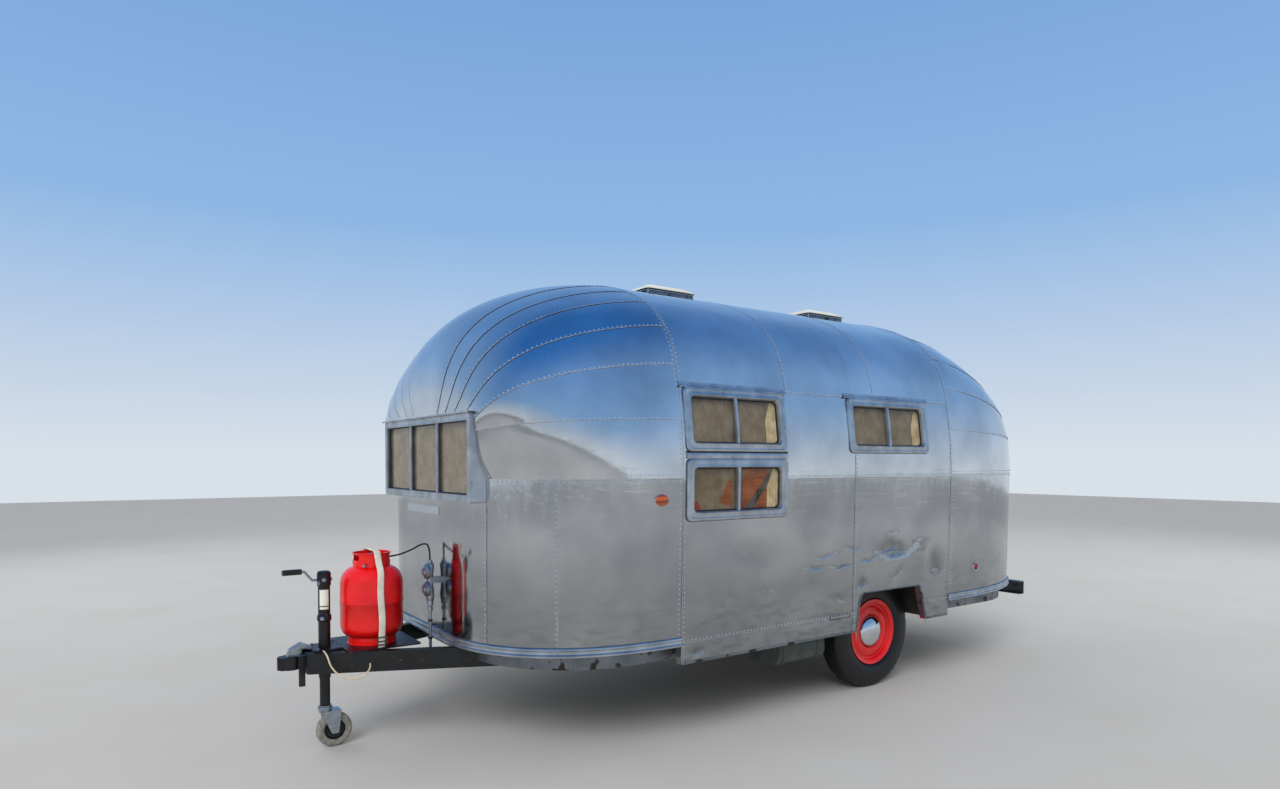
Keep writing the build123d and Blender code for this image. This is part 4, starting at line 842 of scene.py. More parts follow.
# Rivet heads: a six-sided dome, copied to every place and turned to its normal
def addRivets(name, rows, radius=4.4, height=2.3, finish="drivenAluminium"):
    points, normals = (np.concatenate(part) for part in zip(*rows))
    turn = np.arange(6) * math.pi / 3
    ring = np.stack([np.cos(turn), np.sin(turn), np.zeros(6)], -1)
    shape = np.concatenate([ring * radius, ring * radius * 0.72 + [0, 0, height * 0.7], [[0, 0, height]]])
    across = np.cross(np.where(np.abs(normals[:, 2:3]) < 0.8, [[0, 0, 1.0]], [[1.0, 0, 0]]), normals)
    across /= np.linalg.norm(across, axis=1, keepdims=True)
    axes = np.stack([across, np.cross(normals, across), normals], 1)
    placed = points[:, None] + np.einsum("kj,njc->nkc", shape, axes)
    sides = np.array([(i, (i + 1) % 6, (i + 1) % 6 + 6, i + 6) for i in range(6)])
    caps = np.array([(i + 6, (i + 1) % 6 + 6, 12) for i in range(6)])
    starts = np.arange(len(points))[:, None, None] * 13
    sides, caps = (sides + starts).reshape(-1, 4), (caps + starts).reshape(-1, 3)
    return addPiece(name, [(placed.reshape(-1, 3), sides)], finish, sharp=80, tidy=False, extra=caps)


# Profile carried along a path: its rows are (across, out), and the grid has a row for each point
def sweep(points, across, out, profile):
    profile = np.asarray(profile, float)
    across, out = (np.broadcast_to(np.asarray(way, float), points.shape)[:, None] for way in (across, out))
    return points[:, None] + across * profile[None, :, 0:1] + out * profile[None, :, 1:2]


def carried(points, across, out, profile, closed=False):
    grid = sweep(points, across, out, profile)
    return grid.reshape(-1, 3), gridQuads(*grid.shape[:2], closed)


# Seams: rows of rivets beside the lap, and the pale line of sealant at the edge of the upper sheet
seams = {"pitch": 25.0, "lineWidth": 2.6}
sealant = []
rivetRows = {"front": [], "rear": [], "middle": []}


# A seam along a line of (a, b) on a surface: a ridge of sealant 0.9 mm out along the normal, and
# rivets at every pitch on the line moved sideways by the offset
def seamOn(group, surface, a, b, steps, across, offset, visible, line=True, rivets=True):
    point, *along, normal = surfaceFrame(surface, a, b, *steps)
    across = along[across]
    if line:
        half = seams["lineWidth"] / 2
        rows, quads = carried(point + normal * 0.9, across, normal, ((-half, 0), (0, 0.35), (half, 0)))
        shown = visible(point)
        sealant.append((rows, quads[np.repeat(shown[:-1] & shown[1:], 2)]))
    if rivets:
        row = point + across * offset
        at = evenPlaces(row, seams["pitch"], seams["pitch"] / 2)
        low = np.floor(at).astype(int)
        share = (at - low)[:, None]
        spots, turned = (part[low] * (1 - share) + part[low + 1] * share for part in (row, normal))
        shown = visible(spots)
        rivetRows[group].append((spots[shown] + turned[shown] * 0.2, turned[shown]))


alongB, alongA = 1, 0  # the direction in which a seam's rivets stand off
for name, end in endShapes.items():
    shown = lambda points, end=end: ~behindWindow(end, points, 8, 1228, 1680)
    gore = lambda q, deg, end=end: domePoint(end, q, deg, 3.2)
    pan = lambda c, h, end=end: panPoint(end, c, h, 2.4)
    deg = np.linspace(0.6, 99, 150)
    for k in range(1, 13):
        above = 1 if k <= 6 else -1
        seamOn(name, gore, k + above * 0.004 + 0 * deg, deg, (0.003, 0.3), alongA, above * 10.0, shown)
    c = np.linspace(0.004, 1.996, 320)
    seamOn(name, pan, c, 0.9995 + 0 * c, (0.002, 0.0005), alongB, -11.0, shown)
    low = deg[deg < lastDegree]
    for q, offset in ((0.02, 10.0), (12.98, -10.0)):
        seamOn(name, gore, q + 0 * low, low, (0.003, 0.3), alongA, offset, shown, line=False)
    h = np.linspace(0.06, 0.985, 60)
    for c, offset in ((0.36, 9.0), (0.58, 9.0), (1.42, -9.0), (1.64, -9.0)):
        seamOn(name, pan, c + 0 * h, h, (0.002, 0.005), alongA, offset, shown)
    q = np.linspace(0.02, 12.98, 260)
    start = math.degrees(math.asin(14 / end["depth"] * lastShare))
    seamOn(name, gore, q, start + 0 * q, (0.01, 0.3), alongB, 0.0, shown, line=False)
    for c in (14 / 1500, 2 - 14 / 1500):
        seamOn(name, pan, c + 0 * h, h, (0.002, 0.005), alongA, 0.0, shown, line=False)

keepClear = [(side, a - 8, b + 8, low - 8, high + 32) for side, a, b, low, high in windows.values()]
keepClear.append((-1, doorEdges[0] - 12, doorEdges[1] + 12, doorEdges[2] - 12, doorEdges[3] + 12))
keepClear += [(side, 318, 1012, 0, 662) for side in (1, -1)]


def clearOfOpenings(points):  # True where a point lies outside every window, door, arch and vent
    x, y, z = points.T
    keep = np.ones(len(points), bool)
    for side, yLow, yHigh, zLow, zHigh in keepClear:
        keep &= ~((x * side > 0) & (y > yLow) & (y < yHigh) & (z > zLow) & (z < zHigh))
    for ventY in vents.values():
        keep &= ~((np.abs(x) < 190) & (np.abs(y - ventY) < 190) & (z > 2000))
    return keep


def wallSeam(w, y, across, offset, lift=2.6, **parts):  # seam on the body's middle, lift off the wall
    w, y = np.broadcast_arrays(np.asarray(w, float), np.asarray(y, float))
    surface = lambda a, b: bodyPoint(a, b, lift)
    seamOn("middle", surface, w, y, (1.0, 1.0), across, offset, clearOfOpenings, **parts)


w = np.linspace(-halfGirth + 6, halfGirth - 6, 700)
for ringY, inward in ((shell["ringFront"], 1), (shell["ringRear"], -1)):
    wallSeam(w, ringY + inward * 13, alongB, 0.0, line=False)
    wallSeam(w, ringY + inward * 0.5, alongB, 0.0, rivets=False)
y = np.linspace(shell["ringFront"] + 4, shell["ringRear"] - 4, 400)
for side in (1, -1):
    for place, offset, lift in ((beltW + 12, 12.0, 2.6), (gutterW + 4, 10.0, 2.6), (wallAt(534), 9.0, 1.2)):
        wallSeam(side * place, y, alongA, -side * offset, lift)
    wallSeam(side * np.linspace(gutterW + 8, halfGirth - 4, 200), lapY, alongB, 11.0)
for roofY in (-250.0, 490.0):
    wallSeam(np.linspace(-gutterW, gutterW, 300), roofY, alongB, 11.0)
for group, rows in rivetRows.items():
    addRivets(group + "Rivets", rows)
addPiece("seamSealant", sealant, "seamSealant", sharp=80, tidy=False)
print("rivets:", {group: sum(len(row[0]) for row in rows) for group, rows in rivetRows.items()})

# Side window frames: rings of the same rounded outline set in by d and out of the wall by lift
frameShape = (
    (-0.5, -1), (-0.5, 9), (2, 13), (7, 15.6), (13, 15.8), (16.5, 12.6), (30, 11.8), (34, 14.2), (39, 14.6),
    (43, 10.5), (46, 4), (46, -25), (8, -25), (8, -1),
)
gasketShape = ((45, -10), (47, -9.4), (51, -12), (52.5, -15.5), (45, -15.5))
barShape = ((-9, -22), (-9, 3), (-6.5, 7), (-2, 9.4), (2, 9.4), (6.5, 7), (9, 3), (9, -22))
# shadowShape is a painted shadow line round the frame's outer edge, drawn in black rubber
shadowShape = ((-3.5, 0.5), (-2.5, 3.2), (0, 4), (1, 0.5))


def wallRings(side, edges, shape, radius=28.0, steps=9, shrink=0):  # shrink 1 lets corners follow the inset
    outlines = [wallOutline(side, *edges, max(radius - shrink * d, 2), d, steps) for d, _ in shape]
    return ringStack([bodyPoint(*outline.T, lift) for outline, (_, lift) in zip(outlines, shape)])


def wallBar(side, edges, shape):  # upright bar between sill and head
    s = np.linspace(girthAt(edges[2]) + 44, girthAt(edges[3]) - 44, 10)
    y = np.full_like(s, (edges[0] + edges[1]) / 2)
    point, _, _, normal = surfaceFrame(lambda a, b: bodyPoint(side * (halfGirth - a), b, 0), s, y)
    return carried(point, (0, 1, 0), normal, shape, True)


frames, gasketsAndShadowRings, screwRows = {"left": [], "right": []}, [], []
for side, *edges in windows.values():
    key = "left" if side > 0 else "right"
    frames[key] += [wallRings(side, edges, frameShape), wallBar(side, edges, barShape)]
    # The shadowShape ring is a painted shadow: a black bead 3 mm wide on the wall round each frame's outer
    # edge
    gasketsAndShadowRings += [wallRings(side, edges, gasketShape, 24.0), wallRings(side, edges, shadowShape, 30.0)]
    outline = wallOutline(side, *edges, 28.0, 23.0, 4)
    loop = np.concatenate([outline, outline[:1]])
    at = evenPlaces(bodyPoint(*loop.T, 0), 118.0, 40.0)
    spots = [np.interp(at, np.arange(len(loop)), part) for part in loop.T]
    point, _, _, normal = surfaceFrame(lambda a, b: bodyPoint(a, b, 12.2), *spots)
    screwRows.append((point, normal))
for key, patches in frames.items():
    piece = addPiece(key + "FrameMouldings", patches, "satinAluminium")
    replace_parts(piece, key + "_window_frames")
addRivets("frameScrews", screwRows, 3.2, 1.4, "satinAluminium")

# End windows: pressed trim over the flat CAD frame, gaskets and centre bars
endWindows = {"front": (-1918.0, -1, 647.0), "rear": (2592.0, 1, 470.0)}  # face, way out, half width
endSill, endHead = 1236.0, 1668.0
trimShape = ((3, 0), (5, 2.2), (12, 3.0), (18, 0.8), (28, 0.8), (31, 2.6), (36, 2.6), (38.2, 0))
endBarShape = ((-9.5, -20), (-9.5, -1), (-6, 2.4), (0, 3.8), (6, 2.4), (9.5, -1), (9.5, -20))
endGasket = ((8, -12), (10.5, -11.4), (13, -14), (14, -19), (8, -19))
for name, (faceY, way, half) in endWindows.items():

    def endRing(left, right, low, high, d, out, radius):  # rounded outline set in by d, out of the end
        flat = roundedOutline(left + d, right - d, low + d, high - d, radius)
        return uprightRing(flat, faceY + way * out)

    patches = [ringStack([endRing(-half, half, endSill, endHead, d, out - 1, 14.0) for d, out in trimShape])]
    glass = half - 38
    for x in (-glass / 3, glass / 3):
        line = np.array([(x, faceY - way * 4.0, z) for z in np.linspace(endSill + 34, endHead - 34, 6)])
        patches.append(carried(line, (1, 0, 0), (0, way, 0), endBarShape, True))
    addPiece(name + "WindowTrim", patches, "satinAluminium")
    cells = np.linspace(-glass, glass, 4)
    for left, right in zip(cells, cells[1:]):
        gasketsAndShadowRings.append(ringStack([endRing(left, right, 1266, 1638, d, out, 12.0) for d, out in endGasket]))
addPiece("windowGasketsAndShadowRings", gasketsAndShadowRings, "blackExtrudedRubber")
print("window frames made")

# Drip caps over the side windows: a rolled and crumpled strip carried along the wall
dripCap = {"over": 22.0, "crumple": 1.6, "crumpleLong": 90.0}
dripShape = (
    (27, 0.6), (26, 4), (12, 4.6), (5, 7), (1.5, 12), (-1, 14.6), (-4.5, 14), (-5, 10), (-1.5, 4),
    (-1.5, 0.6),
)
patches, rows = [], []
for key, (side, yLow, yHigh, _, head) in windows.items():
    if key.endswith("Low"):
        continue
    y = np.linspace(yLow - dripCap["over"], yHigh + dripCap["over"], 60)
    w = np.full_like(y, side * wallAt(head))
    point, alongW, _, normal = surfaceFrame(lambda a, b: bodyPoint(a, b, 0), w, y)
    up = alongW * np.sign(alongW[:, 2:3])
    turn = y[:, None] / dripCap["crumpleLong"]
    wave = np.sin(turn * 5.1) * np.sin(turn * 2.3 + 1) * dripCap["crumple"]
    patches.append(carried(point + up * wave, up, normal * (1 + 0.06 * wave), dripShape, True))
    at = np.arange(2, 60, 4)
    rows.append(((point + up * 20 + normal * 4.4)[at], normal[at]))
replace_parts(addPiece("dripCapRolls", patches, "satinAluminium"), "drip_caps")
bead = ((0, 0), (14.5, -2), (16.4, -4), (16.4, -8), (14, -8), (13, -5), (0, -3.4))
for name, (faceY, way, half) in endWindows.items():
    x = np.linspace(-half - 13.5, half + 13.5, 50)
    wave = 1.2 * np.sin(x / 41.0) * np.sin(x / 77.0 + 1)
    line = np.stack([x, np.full_like(x, faceY - way * 2), 1671.5 + wave], -1)
    addPiece(name + "DripBead", [carried(line, (0, way, 0), (0, 0, 1), bead, True)], "satinAluminium")
    at = np.arange(1, 50, 3)
    rows.append((line[at] + (0, way * 7, 0.1), np.tile([[0, 0, 1.0]], (len(at), 1))))
addRivets("dripCapRivets", rows, 2.8, 1.4, "satinAluminium")

# Flat bar that joins the upper and the lower window frame, with the black gasket line above it
joinBar = ((1478, 0.5), (1478, 9), (1474, 11.5), (1452, 11.5), (1447, 9), (1447, 0.5))  # height and lift
joinGasket = ((1486, 0.6), (1486, 12.4), (1479, 12.4), (1479, 0.6))
joins = {"frameJoinBar": ("satinAluminium", joinBar), "frameJoinGasket": ("blackExtrudedRubber", joinGasket)}
for name, (finish, section) in joins.items():
    height, lift = np.array(section, float).T
    rings = bodyPoint(wallAt(height)[None], np.linspace(-965, -274, 30)[:, None], lift)
    addPiece(name, cappedRings(rings), finish)

# Rub rails: a double-ribbed extrusion carried round each end
railShape = (
    (-1, 518), (9, 518), (13.5, 519.5), (15.8, 523), (15.8, 528), (13, 531.5), (9.5, 533.5), (8.5, 536),
    (8.5, 546), (9.5, 548.5), (13, 550.5), (15.8, 554), (15.8, 559), (13.5, 562.5), (9, 564), (-1, 564),
)
for name, end in endShapes.items():
    share = (541.0 - shell["railZ"]) / (shell["beltZ"] - shell["railZ"])
    line = panPoint(end, np.linspace(0.0, 2.0, 150), share, 0.0) * (1, 1, 0)
    along = np.gradient(line, axis=0)
    out = np.cross(along / np.linalg.norm(along, axis=1, keepdims=True), (0, 0, 1.0))
    out *= np.sign(np.sum(out * (line - [0, end["ringY"], 0]), 1, keepdims=True))
    piece = addPiece(name + "RubRail", cappedRings(sweep(line, out, (0, 0, 1), railShape)), "satinAluminium")
    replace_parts(piece, name + "_moulding")

# Folded edges of wheel arches, skirts and the doorway, which close the thickness of the wall
archFold = ((1.035, 0.4), (1.035, 3.2), (1.0, 3.8), (0.985, 2.2), (0.985, -38), (1.02, -38))  # growth, lift
skirtFold = ((12, 0.4), (12, 2.6), (0, 3.0), (-1.4, 1.8), (-1.4, -38), (6, -38))  # above the hem, lift
patches = []
for side in (1, -1):
    outline = archOutline(side)
    outline = outline[np.abs(outline[:, 0]) <= halfGirth + 1]
    foot = [[side * halfGirth, 333.0], [side * halfGirth, 997.0]]
    path = np.array([foot[0], *outline[np.argsort(outline[:, 1])], foot[1]])
    t = np.linspace(0, len(path) - 1, 8 * (len(path) - 1) + 1)
    dense = np.stack([np.interp(t, np.arange(len(path)), part) for part in path.T], -1)
    centre = np.array([side * (halfGirth - 100), 665.0])
    rings = []
    for grow, lift in archFold:
        w, y = (centre + (dense - centre) * grow).T
        rings.append(bodyPoint(side * np.minimum(np.abs(w), halfGirth), y, lift))
    patches.append(ringStack(rings, False))
    for edges in ((shell["ringFront"], 326.0), (1004.0, shell["ringRear"])):
        y = np.linspace(*edges, 40)
        rings = []
        for s, lift in skirtFold:
            rings.append(bodyPoint(side * (halfGirth - max(s, 0)), y, lift) - (0, 0, max(-s, 0)))
        patches.append(ringStack(rings, False))
addPiece("foldedWallEdges", patches, "dullAluminium")

jamb = ((-20, 0.5), (-19, 4), (-10, 5.4), (-1, 3.6), (0.6, 1.5), (0.6, -38), (-3, -38), (-3, 0.5))
paneTrim = (
    (-30, 0.6), (-29, 8), (-24, 11), (-14, 12), (-5, 11), (0.5, 6), (0.5, -15), (-4, -15), (-4, 0.6),
)
paneSeal = ((-0.5, 3), (3, 5.5), (7, 4), (8, -1), (8, -15.5), (-0.5, -15.5))
addPiece("doorwayTrim", [wallRings(-1, doorEdges, jamb, 90, 10, 1)], "satinAluminium")
addPiece("doorPaneTrim", [wallRings(-1, doorPane, paneTrim, 28, 10, 1)], "satinAluminium", "door")
addPiece("doorPaneSeal", [wallRings(-1, doorPane, paneSeal, 28, 10, 1)], "blackExtrudedRubber", "door")
print("edges and trims made")


def screenPatch(side, edges, lift, rows=14, columns=24):  # grid on the wall with 0.8 mm waves along y
    s = np.linspace(girthAt(edges[2]) + 42, girthAt(edges[3]) - 42, rows)
    s, y = np.meshgrid(s, np.linspace(edges[0] + 42, edges[1] - 42, columns), indexing="ij")
    points = bodyPoint(side * (halfGirth - s), y, lift + 0.8 * np.sin(y / 60.0))
    return points.reshape(-1, 3), gridQuads(rows, columns)[:, ::side]


patches = [screenPatch(side, edges, -26.0) for side, *edges in windows.values()]
for faceY, way, half in endWindows.values():
    x, z = np.meshgrid(np.linspace(-half + 38, half - 38, 30), np.linspace(1274, 1630, 12), indexing="ij")
    points = np.stack([x, faceY - way * (27 + 0.8 * np.sin(x / 50.0)), z], -1)
    patches.append((points.reshape(-1, 3), gridQuads(30, 12)[:, ::-way]))
addPiece("insectScreens", patches, "wovenInsectScreen", tidy=False)
paneEdges = np.add(doorPane, (-40, 40, -40, 40))
addPiece("doorInsectScreen", [screenPatch(-1, paneEdges, -27.0)], "wovenInsectScreen", "door", tidy=False)


# Curtains gathered at the rear edge of each side window, and at the nose: the cloth runs to and fro
# in sine folds, deeper towards the hem, and draws together towards the head
def addCurtain(name, surface, wide, high, folds, depth):
    u, v = np.meshgrid(np.linspace(0, 1, 90), np.linspace(0, 1, 16), indexing="ij")
    fold = np.sin(u * folds * 2 * math.pi + 0.6 * v) * depth * (0.6 + 0.4 * v)
    drawn = 0.45 + 0.55 * np.minimum(v * 2.2, 1)
    points = surface(u * drawn * wide, v * high, fold)
    piece = addPiece(name, [(points.reshape(-1, 3), gridQuads(90, 16))], "wovenCottonCurtain", tidy=False)


curtains = {  # name: rear edge along the body, head and drop
    "curtainFrontLow": (-316.0, 1402.0, 218.0), "curtainFrontHigh": (-316.0, 1760.0, 230.0),
    "curtainRear": (944.0, 1760.0, 230.0),
}
tableZ = np.linspace(1100, 1850, 76)
for name, (rear, head, drop) in curtains.items():
    heights = np.linspace(head - drop, head, 40)
    girths = np.interp(heights, tableZ, girthAt(tableZ))

    def sideCurtain(along, down, fold):  # forwards along the wall, down its girth and out by the fold
        return bodyPoint(halfGirth - np.interp(head - down, heights, girths), rear - along, -22.6 + fold)

    addCurtain(name, sideCurtain, 84.0, drop, 4, 1.2)


def noseCurtain(along, down, fold):  # sideways, down and forwards by the fold behind the nose window
    return np.stack([-590 + along, -1868 + fold, 1636 - down], -1)


addCurtain("curtainNose", noseCurtain, 250.0, 370.0, 7, 6.0)
print("screens and curtains made")


# Turned form: profile rows are (along, radius), u and v square to the axis
# point(a, t) = centre + axis a + (u cos t + v sin t) radius(a)
def turned(profile, centre, axis, count=64, closed=False, quarter=0.0):
    profile = np.asarray(profile, float)
    axis = np.asarray(axis, float) / np.linalg.norm(axis)
    u = np.cross(axis, [0, 0, 1.0]) if abs(axis[2]) < 0.9 else np.array([1.0, 0, 0])
    u /= np.linalg.norm(u)
    angles = np.radians(np.linspace(0, 360, count + 1) + quarter)
    ray = np.multiply.outer(np.cos(angles), u) + np.multiply.outer(np.sin(angles), np.cross(axis, u))
    grid = np.asarray(centre, float) + profile[None, :, 0:1] * axis + ray[:, None] * profile[None, :, 1:2]
    return grid.reshape(-1, 3), gridQuads(count + 1, len(profile), closed)


def smoothLine(points, steps=6):  # Catmull-Rom curve through the points
    p = np.asarray(points, float)
    p = np.concatenate([2 * p[:1] - p[1:2], p, 2 * p[-1:] - p[-2:-1]])
    t = np.linspace(0, 1, steps, endpoint=False)[:, None]
    rows = [
        0.5 * (2 * b + (c - a) * t + (2 * a - 5 * b + 4 * c - d) * t**2 + (3 * b - a - 3 * c + d) * t**3)
        for a, b, c, d in zip(p, p[1:], p[2:], p[3:])
    ]
    return np.concatenate(rows + [p[-2:-1]])


def bolts(places, normals, size=9.0, high=7.0, washer=1.6):  # hexagon heads on round washers
    wide = size * 1.45
    disc = ((-0.5, 0), (-0.5, wide), (washer * 0.7, wide), (washer, size * 1.3), (washer, 0))
    foot, top = (washer - 0.2, 0), (high - 0.6, 0)
    head = (foot, (washer - 0.2, size), (high * 0.8, size), (high, size * 0.86), (high, size * 0.5), top)
    patches = []
    for place, normal in zip(places, np.broadcast_to(normals, (len(places), 3))):
        patches += [turned(disc, place, normal, 20), turned(head, place, normal, 6, quarter=12.0)]
    return patches


def bentLine(corners, steps):  # points along straight runs, with each corner twice
    return np.concatenate([np.linspace(a, b, steps) for a, b in zip(corners, corners[1:])])


def rodAlong(points, radius, count=12):  # round rod through points, with flat ends
    line = np.asarray(points, float)
    along = np.gradient(line, axis=0)
    along /= np.linalg.norm(along, axis=1, keepdims=True)
    side = np.cross(along, (0.31, 0.17, 0.93))
    side /= np.linalg.norm(side, axis=1, keepdims=True)
    turn = np.linspace(0, 2 * math.pi, count, endpoint=False)[None, :, None]
    ray = np.cos(turn) * side[:, None] + np.sin(turn) * np.cross(along, side)[:, None]
    tips = np.repeat(line[[0, -1], None], count, 1)
    grid = np.concatenate([tips[:1], line[:, None] + ray * radius, tips[1:]])
    return grid.reshape(-1, 3), gridQuads(len(grid), count, True)


# Wheels: each step round the tyre shifts the grooves to and fro, and notches cut the tread's edges
wheel = {
    "middle": 817.5, "grooves": (-36.0, -12.0, 12.0, 36.0), "grooveWide": 6.0, "grooveDeep": 6.0,
    "zigzag": 3.0, "pitches": 88, "notchDeep": 3.0,
}
flankLine = (
    (58, 344.5), (66, 336), (73, 320), (77.5, 303), (81, 281), (82.3, 256), (79, 234), (70, 217),
    (61, 209.4),
)
rimLine = (
    (-60, 180), (-66, 196), (-68, 205), (-66.5, 207), (-63, 206.5), (-59, 199), (-54, 197), (-30, 197),
    (-20, 190), (20, 190), (30, 197), (54, 197), (59, 199), (63, 206.5), (66.5, 207), (68, 205), (66, 197),
    (61, 183), (55, 179), (46, 177), (41, 173), (40, 168), (42, 160), (47, 153), (49.5, 146), (50, 128),
    (50, 114), (47, 108), (36, 104), (31, 100), (30, 84), (30, 25.2), (-38, 25.2), (-38, 70), (20, 74),
    (26, 150), (24, 180), (-44, 180),
)
capLine = (
    (31, 20), (31, 94), (35, 99), (39, 101.5), (43, 100), (47, 98.5), (54, 95.5), (61, 89), (68, 79),
    (75, 64), (81, 45), (85, 24), (87, 0),
)


# Tyre: the section's (a, r) turned about the axle, so that y = r cos t and z = r sin t
def tyrePatch(side):
    half, tread = wheel["grooveWide"] / 2, [(-50, 348.2)]
    for groove in wheel["grooves"]:
        crown = 350 - 2.0 * (groove / 50) ** 2
        floor = crown - wheel["grooveDeep"]
        low, high = groove - half, groove + half
        tread += [(low, crown), (low + 0.8, floor), (high - 0.8, floor), (high, crown)]
    tread.append((50, 348.2))
    flank = smoothLine(flankLine, 3)
    radius = flank[:, 1]
    ribs = (radius > 300) & (radius < 312) | (radius > 226) & (radius < 232)
    flank[:, 0] -= 1.2 * (~ribs & (radius < 318))
    bead = [(57, 200.0), (55, 197.6), (-55, 197.6), (-57, 200.0)]
    profile = np.concatenate([tread, flank, bead, flank[::-1] * (-1, 1)])
    step = np.arange(wheel["pitches"] * 4 + 1)
    grid = np.repeat(profile[None], len(step), 0)
    grid[:, 1 : len(tread) - 1, 0] += np.array([0, 1, 0, -1])[step % 4][:, None] * wheel["zigzag"]
    edge = (np.abs(profile[:, 0]) > 49) & (profile[:, 1] > 330)
    grid[..., 1] -= wheel["notchDeep"] * ((step % 8 < 2)[:, None] & edge)
    turn = np.linspace(0, 2 * math.pi, len(step))[:, None]
    across, radius = grid[..., 0], grid[..., 1]
    place = (side * (wheel["middle"] + across), axleY + radius * np.cos(turn), axleZ + radius * np.sin(turn))
    return np.stack(place, -1).reshape(-1, 3), gridQuads(*grid.shape[:2], True)


for side, name in ((1, "left"), (-1, "right")):
    body, centre, axis = "wheel_" + name, (side * wheel["middle"], axleY, axleZ), (side, 0, 0)
    tyre = addPiece(name + "Tyre", [tyrePatch(side)], "mouldedTyreRubber", body, 28)
    rim = addPiece(name + "WheelRim", [turned(rimLine, centre, axis, 96, True)], "redEnamelSteel", body, 50)
    cap = addPiece(name + "HubDome", [turned(capLine, centre, axis, 72)], "chromePlate", body, 50)
    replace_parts(tyre, "tyre_" + name)
    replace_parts(rim, "rim_" + name)
    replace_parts(cap, "hub_cap_" + name)
    bend = ((0, 30), (0.3, 44), (0.7, 54), (1, 62))
    stem = [(side * (wheel["middle"] + a), axleY - 150 - 8 * s, axleZ + 98 + 6 * s) for s, a in bend]
    addPiece(name + "TyreValve", [rodAlong(stem, 4.5)], "blackExtrudedRubber", body)
print("wheels made")

# Gas bottle: shell and foot ring
bottleSizes = {
    "y": -2190.0, "foot": 506.0, "valveUp": 430.0,
    "collarRadius": 92.0, "collarFrom": 386.0, "collarTo": 458.0, "sheet": 2.6, "curl": 4.4,
    "handHole": (110.0, 423.0, 451.0),  # length round the collar, low edge and high edge
}
bottleY, bottleFoot = bottleSizes["y"], bottleSizes["foot"]
bottleAt, upright = (0, bottleY, bottleFoot), (0, 0, 1)
sideLine = ((22, 0), (24, 55), (29, 92), (38, 120), (52, 139), (70, 150), (90, 154.4), (115, 155))
seamLine = ((206, 155), (208, 156.6), (212, 157.8), (216, 156.6), (218, 155))
shoulderLine = (
    (300, 155), (322, 152.5), (342, 147), (358, 138), (372, 126), (384, 108), (392, 84), (396.5, 50),
    (398, 0),
)
bottleLine = np.concatenate([smoothLine(sideLine, 3), seamLine, smoothLine(shoulderLine, 3)])
bottle = addPiece("gasBottleShell", [turned(bottleLine, bottleAt, upright, 96)], "redEnamelSteel", sharp=60)
footLine = (
    (0, 121), (0, 116), (3, 114.6), (20, 115), (36, 115), (36, 118), (20, 118.3), (6, 118.4), (4, 121),
)
addPiece("gasBottleFoot", [turned(footLine, bottleAt, upright, 72, True)], "redEnamelSteel", sharp=50)

# Collar: a rolled sheet with two hand holes, thickened, and a curled edge
radius, top = bottleSizes["collarRadius"], bottleSizes["collarTo"]
around = 2 * math.pi * radius
long, low, high = bottleSizes["handHole"]
holes = [roundedOutline(k * around - long / 2, k * around + long / 2, low, high, 14, 8) for k in (0.25, 0.75)]
flat, triangles = sheetTriangles(0, around, bottleSizes["collarFrom"], top, 7.0, holes)
angle = flat[:, 0] / radius
points = np.stack([radius * np.cos(angle), bottleY + radius * np.sin(angle), bottleFoot + flat[:, 1]], -1)
collar = addPiece("gasBottleCollar", [(points, triangles)], "redEnamelSteel", sharp=60).data
shape = bmesh.new()
shape.from_mesh(collar)
bmesh.ops.solidify(shape, geom=shape.faces[:], thickness=bottleSizes["sheet"] * mm)
bmesh.ops.recalc_face_normals(shape, faces=shape.faces)
shape.to_mesh(collar)
shape.free()
turns = np.linspace(0, 2 * math.pi, 12, endpoint=False)
rollRadius = bottleSizes["curl"]
curl = [(top + rollRadius * math.cos(t), radius - 1 + rollRadius * math.sin(t)) for t in turns]
addPiece("gasBottleCurl", [turned(curl, bottleAt, upright, 72, True)], "redEnamelSteel")
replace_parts(bottle, "gas_bottle")
valveLine = (
    (390, 0), (390, 17), (396, 17), (398, 15), (414, 15), (416, 12), (424, 12), (426, 16), (440, 16),
    (442, 12), (448, 10), (449, 0),
)
outlet = ((0, 0), (0, 8), (14, 8), (14, 11), (30, 11), (30, 9), (41, 9), (41, 0))
knob = ((443, 0), (443, 20), (446, 23), (452, 23), (455, 20), (455, 0))
parts = [turned(valveLine, bottleAt, upright, 32), turned(knob, bottleAt, upright, 10)]
parts.append(turned(outlet, (0, bottleY, bottleFoot + bottleSizes["valveUp"]), (0, 1, 0), 24))
addPiece("gasBottleValve", parts, "zincPlatedSteel", sharp=30)
lug = ((-6, 0), (-6, 9), (6, 9), (9, 7), (9, 0))
lugs = [turned(lug, (x * 92, bottleY - 62, bottleFoot + 404), (x * 0.83, -0.55, 0), 20) for x in (-1, 1)]
addPiece("collarLugs", lugs, "zincPlatedSteel")

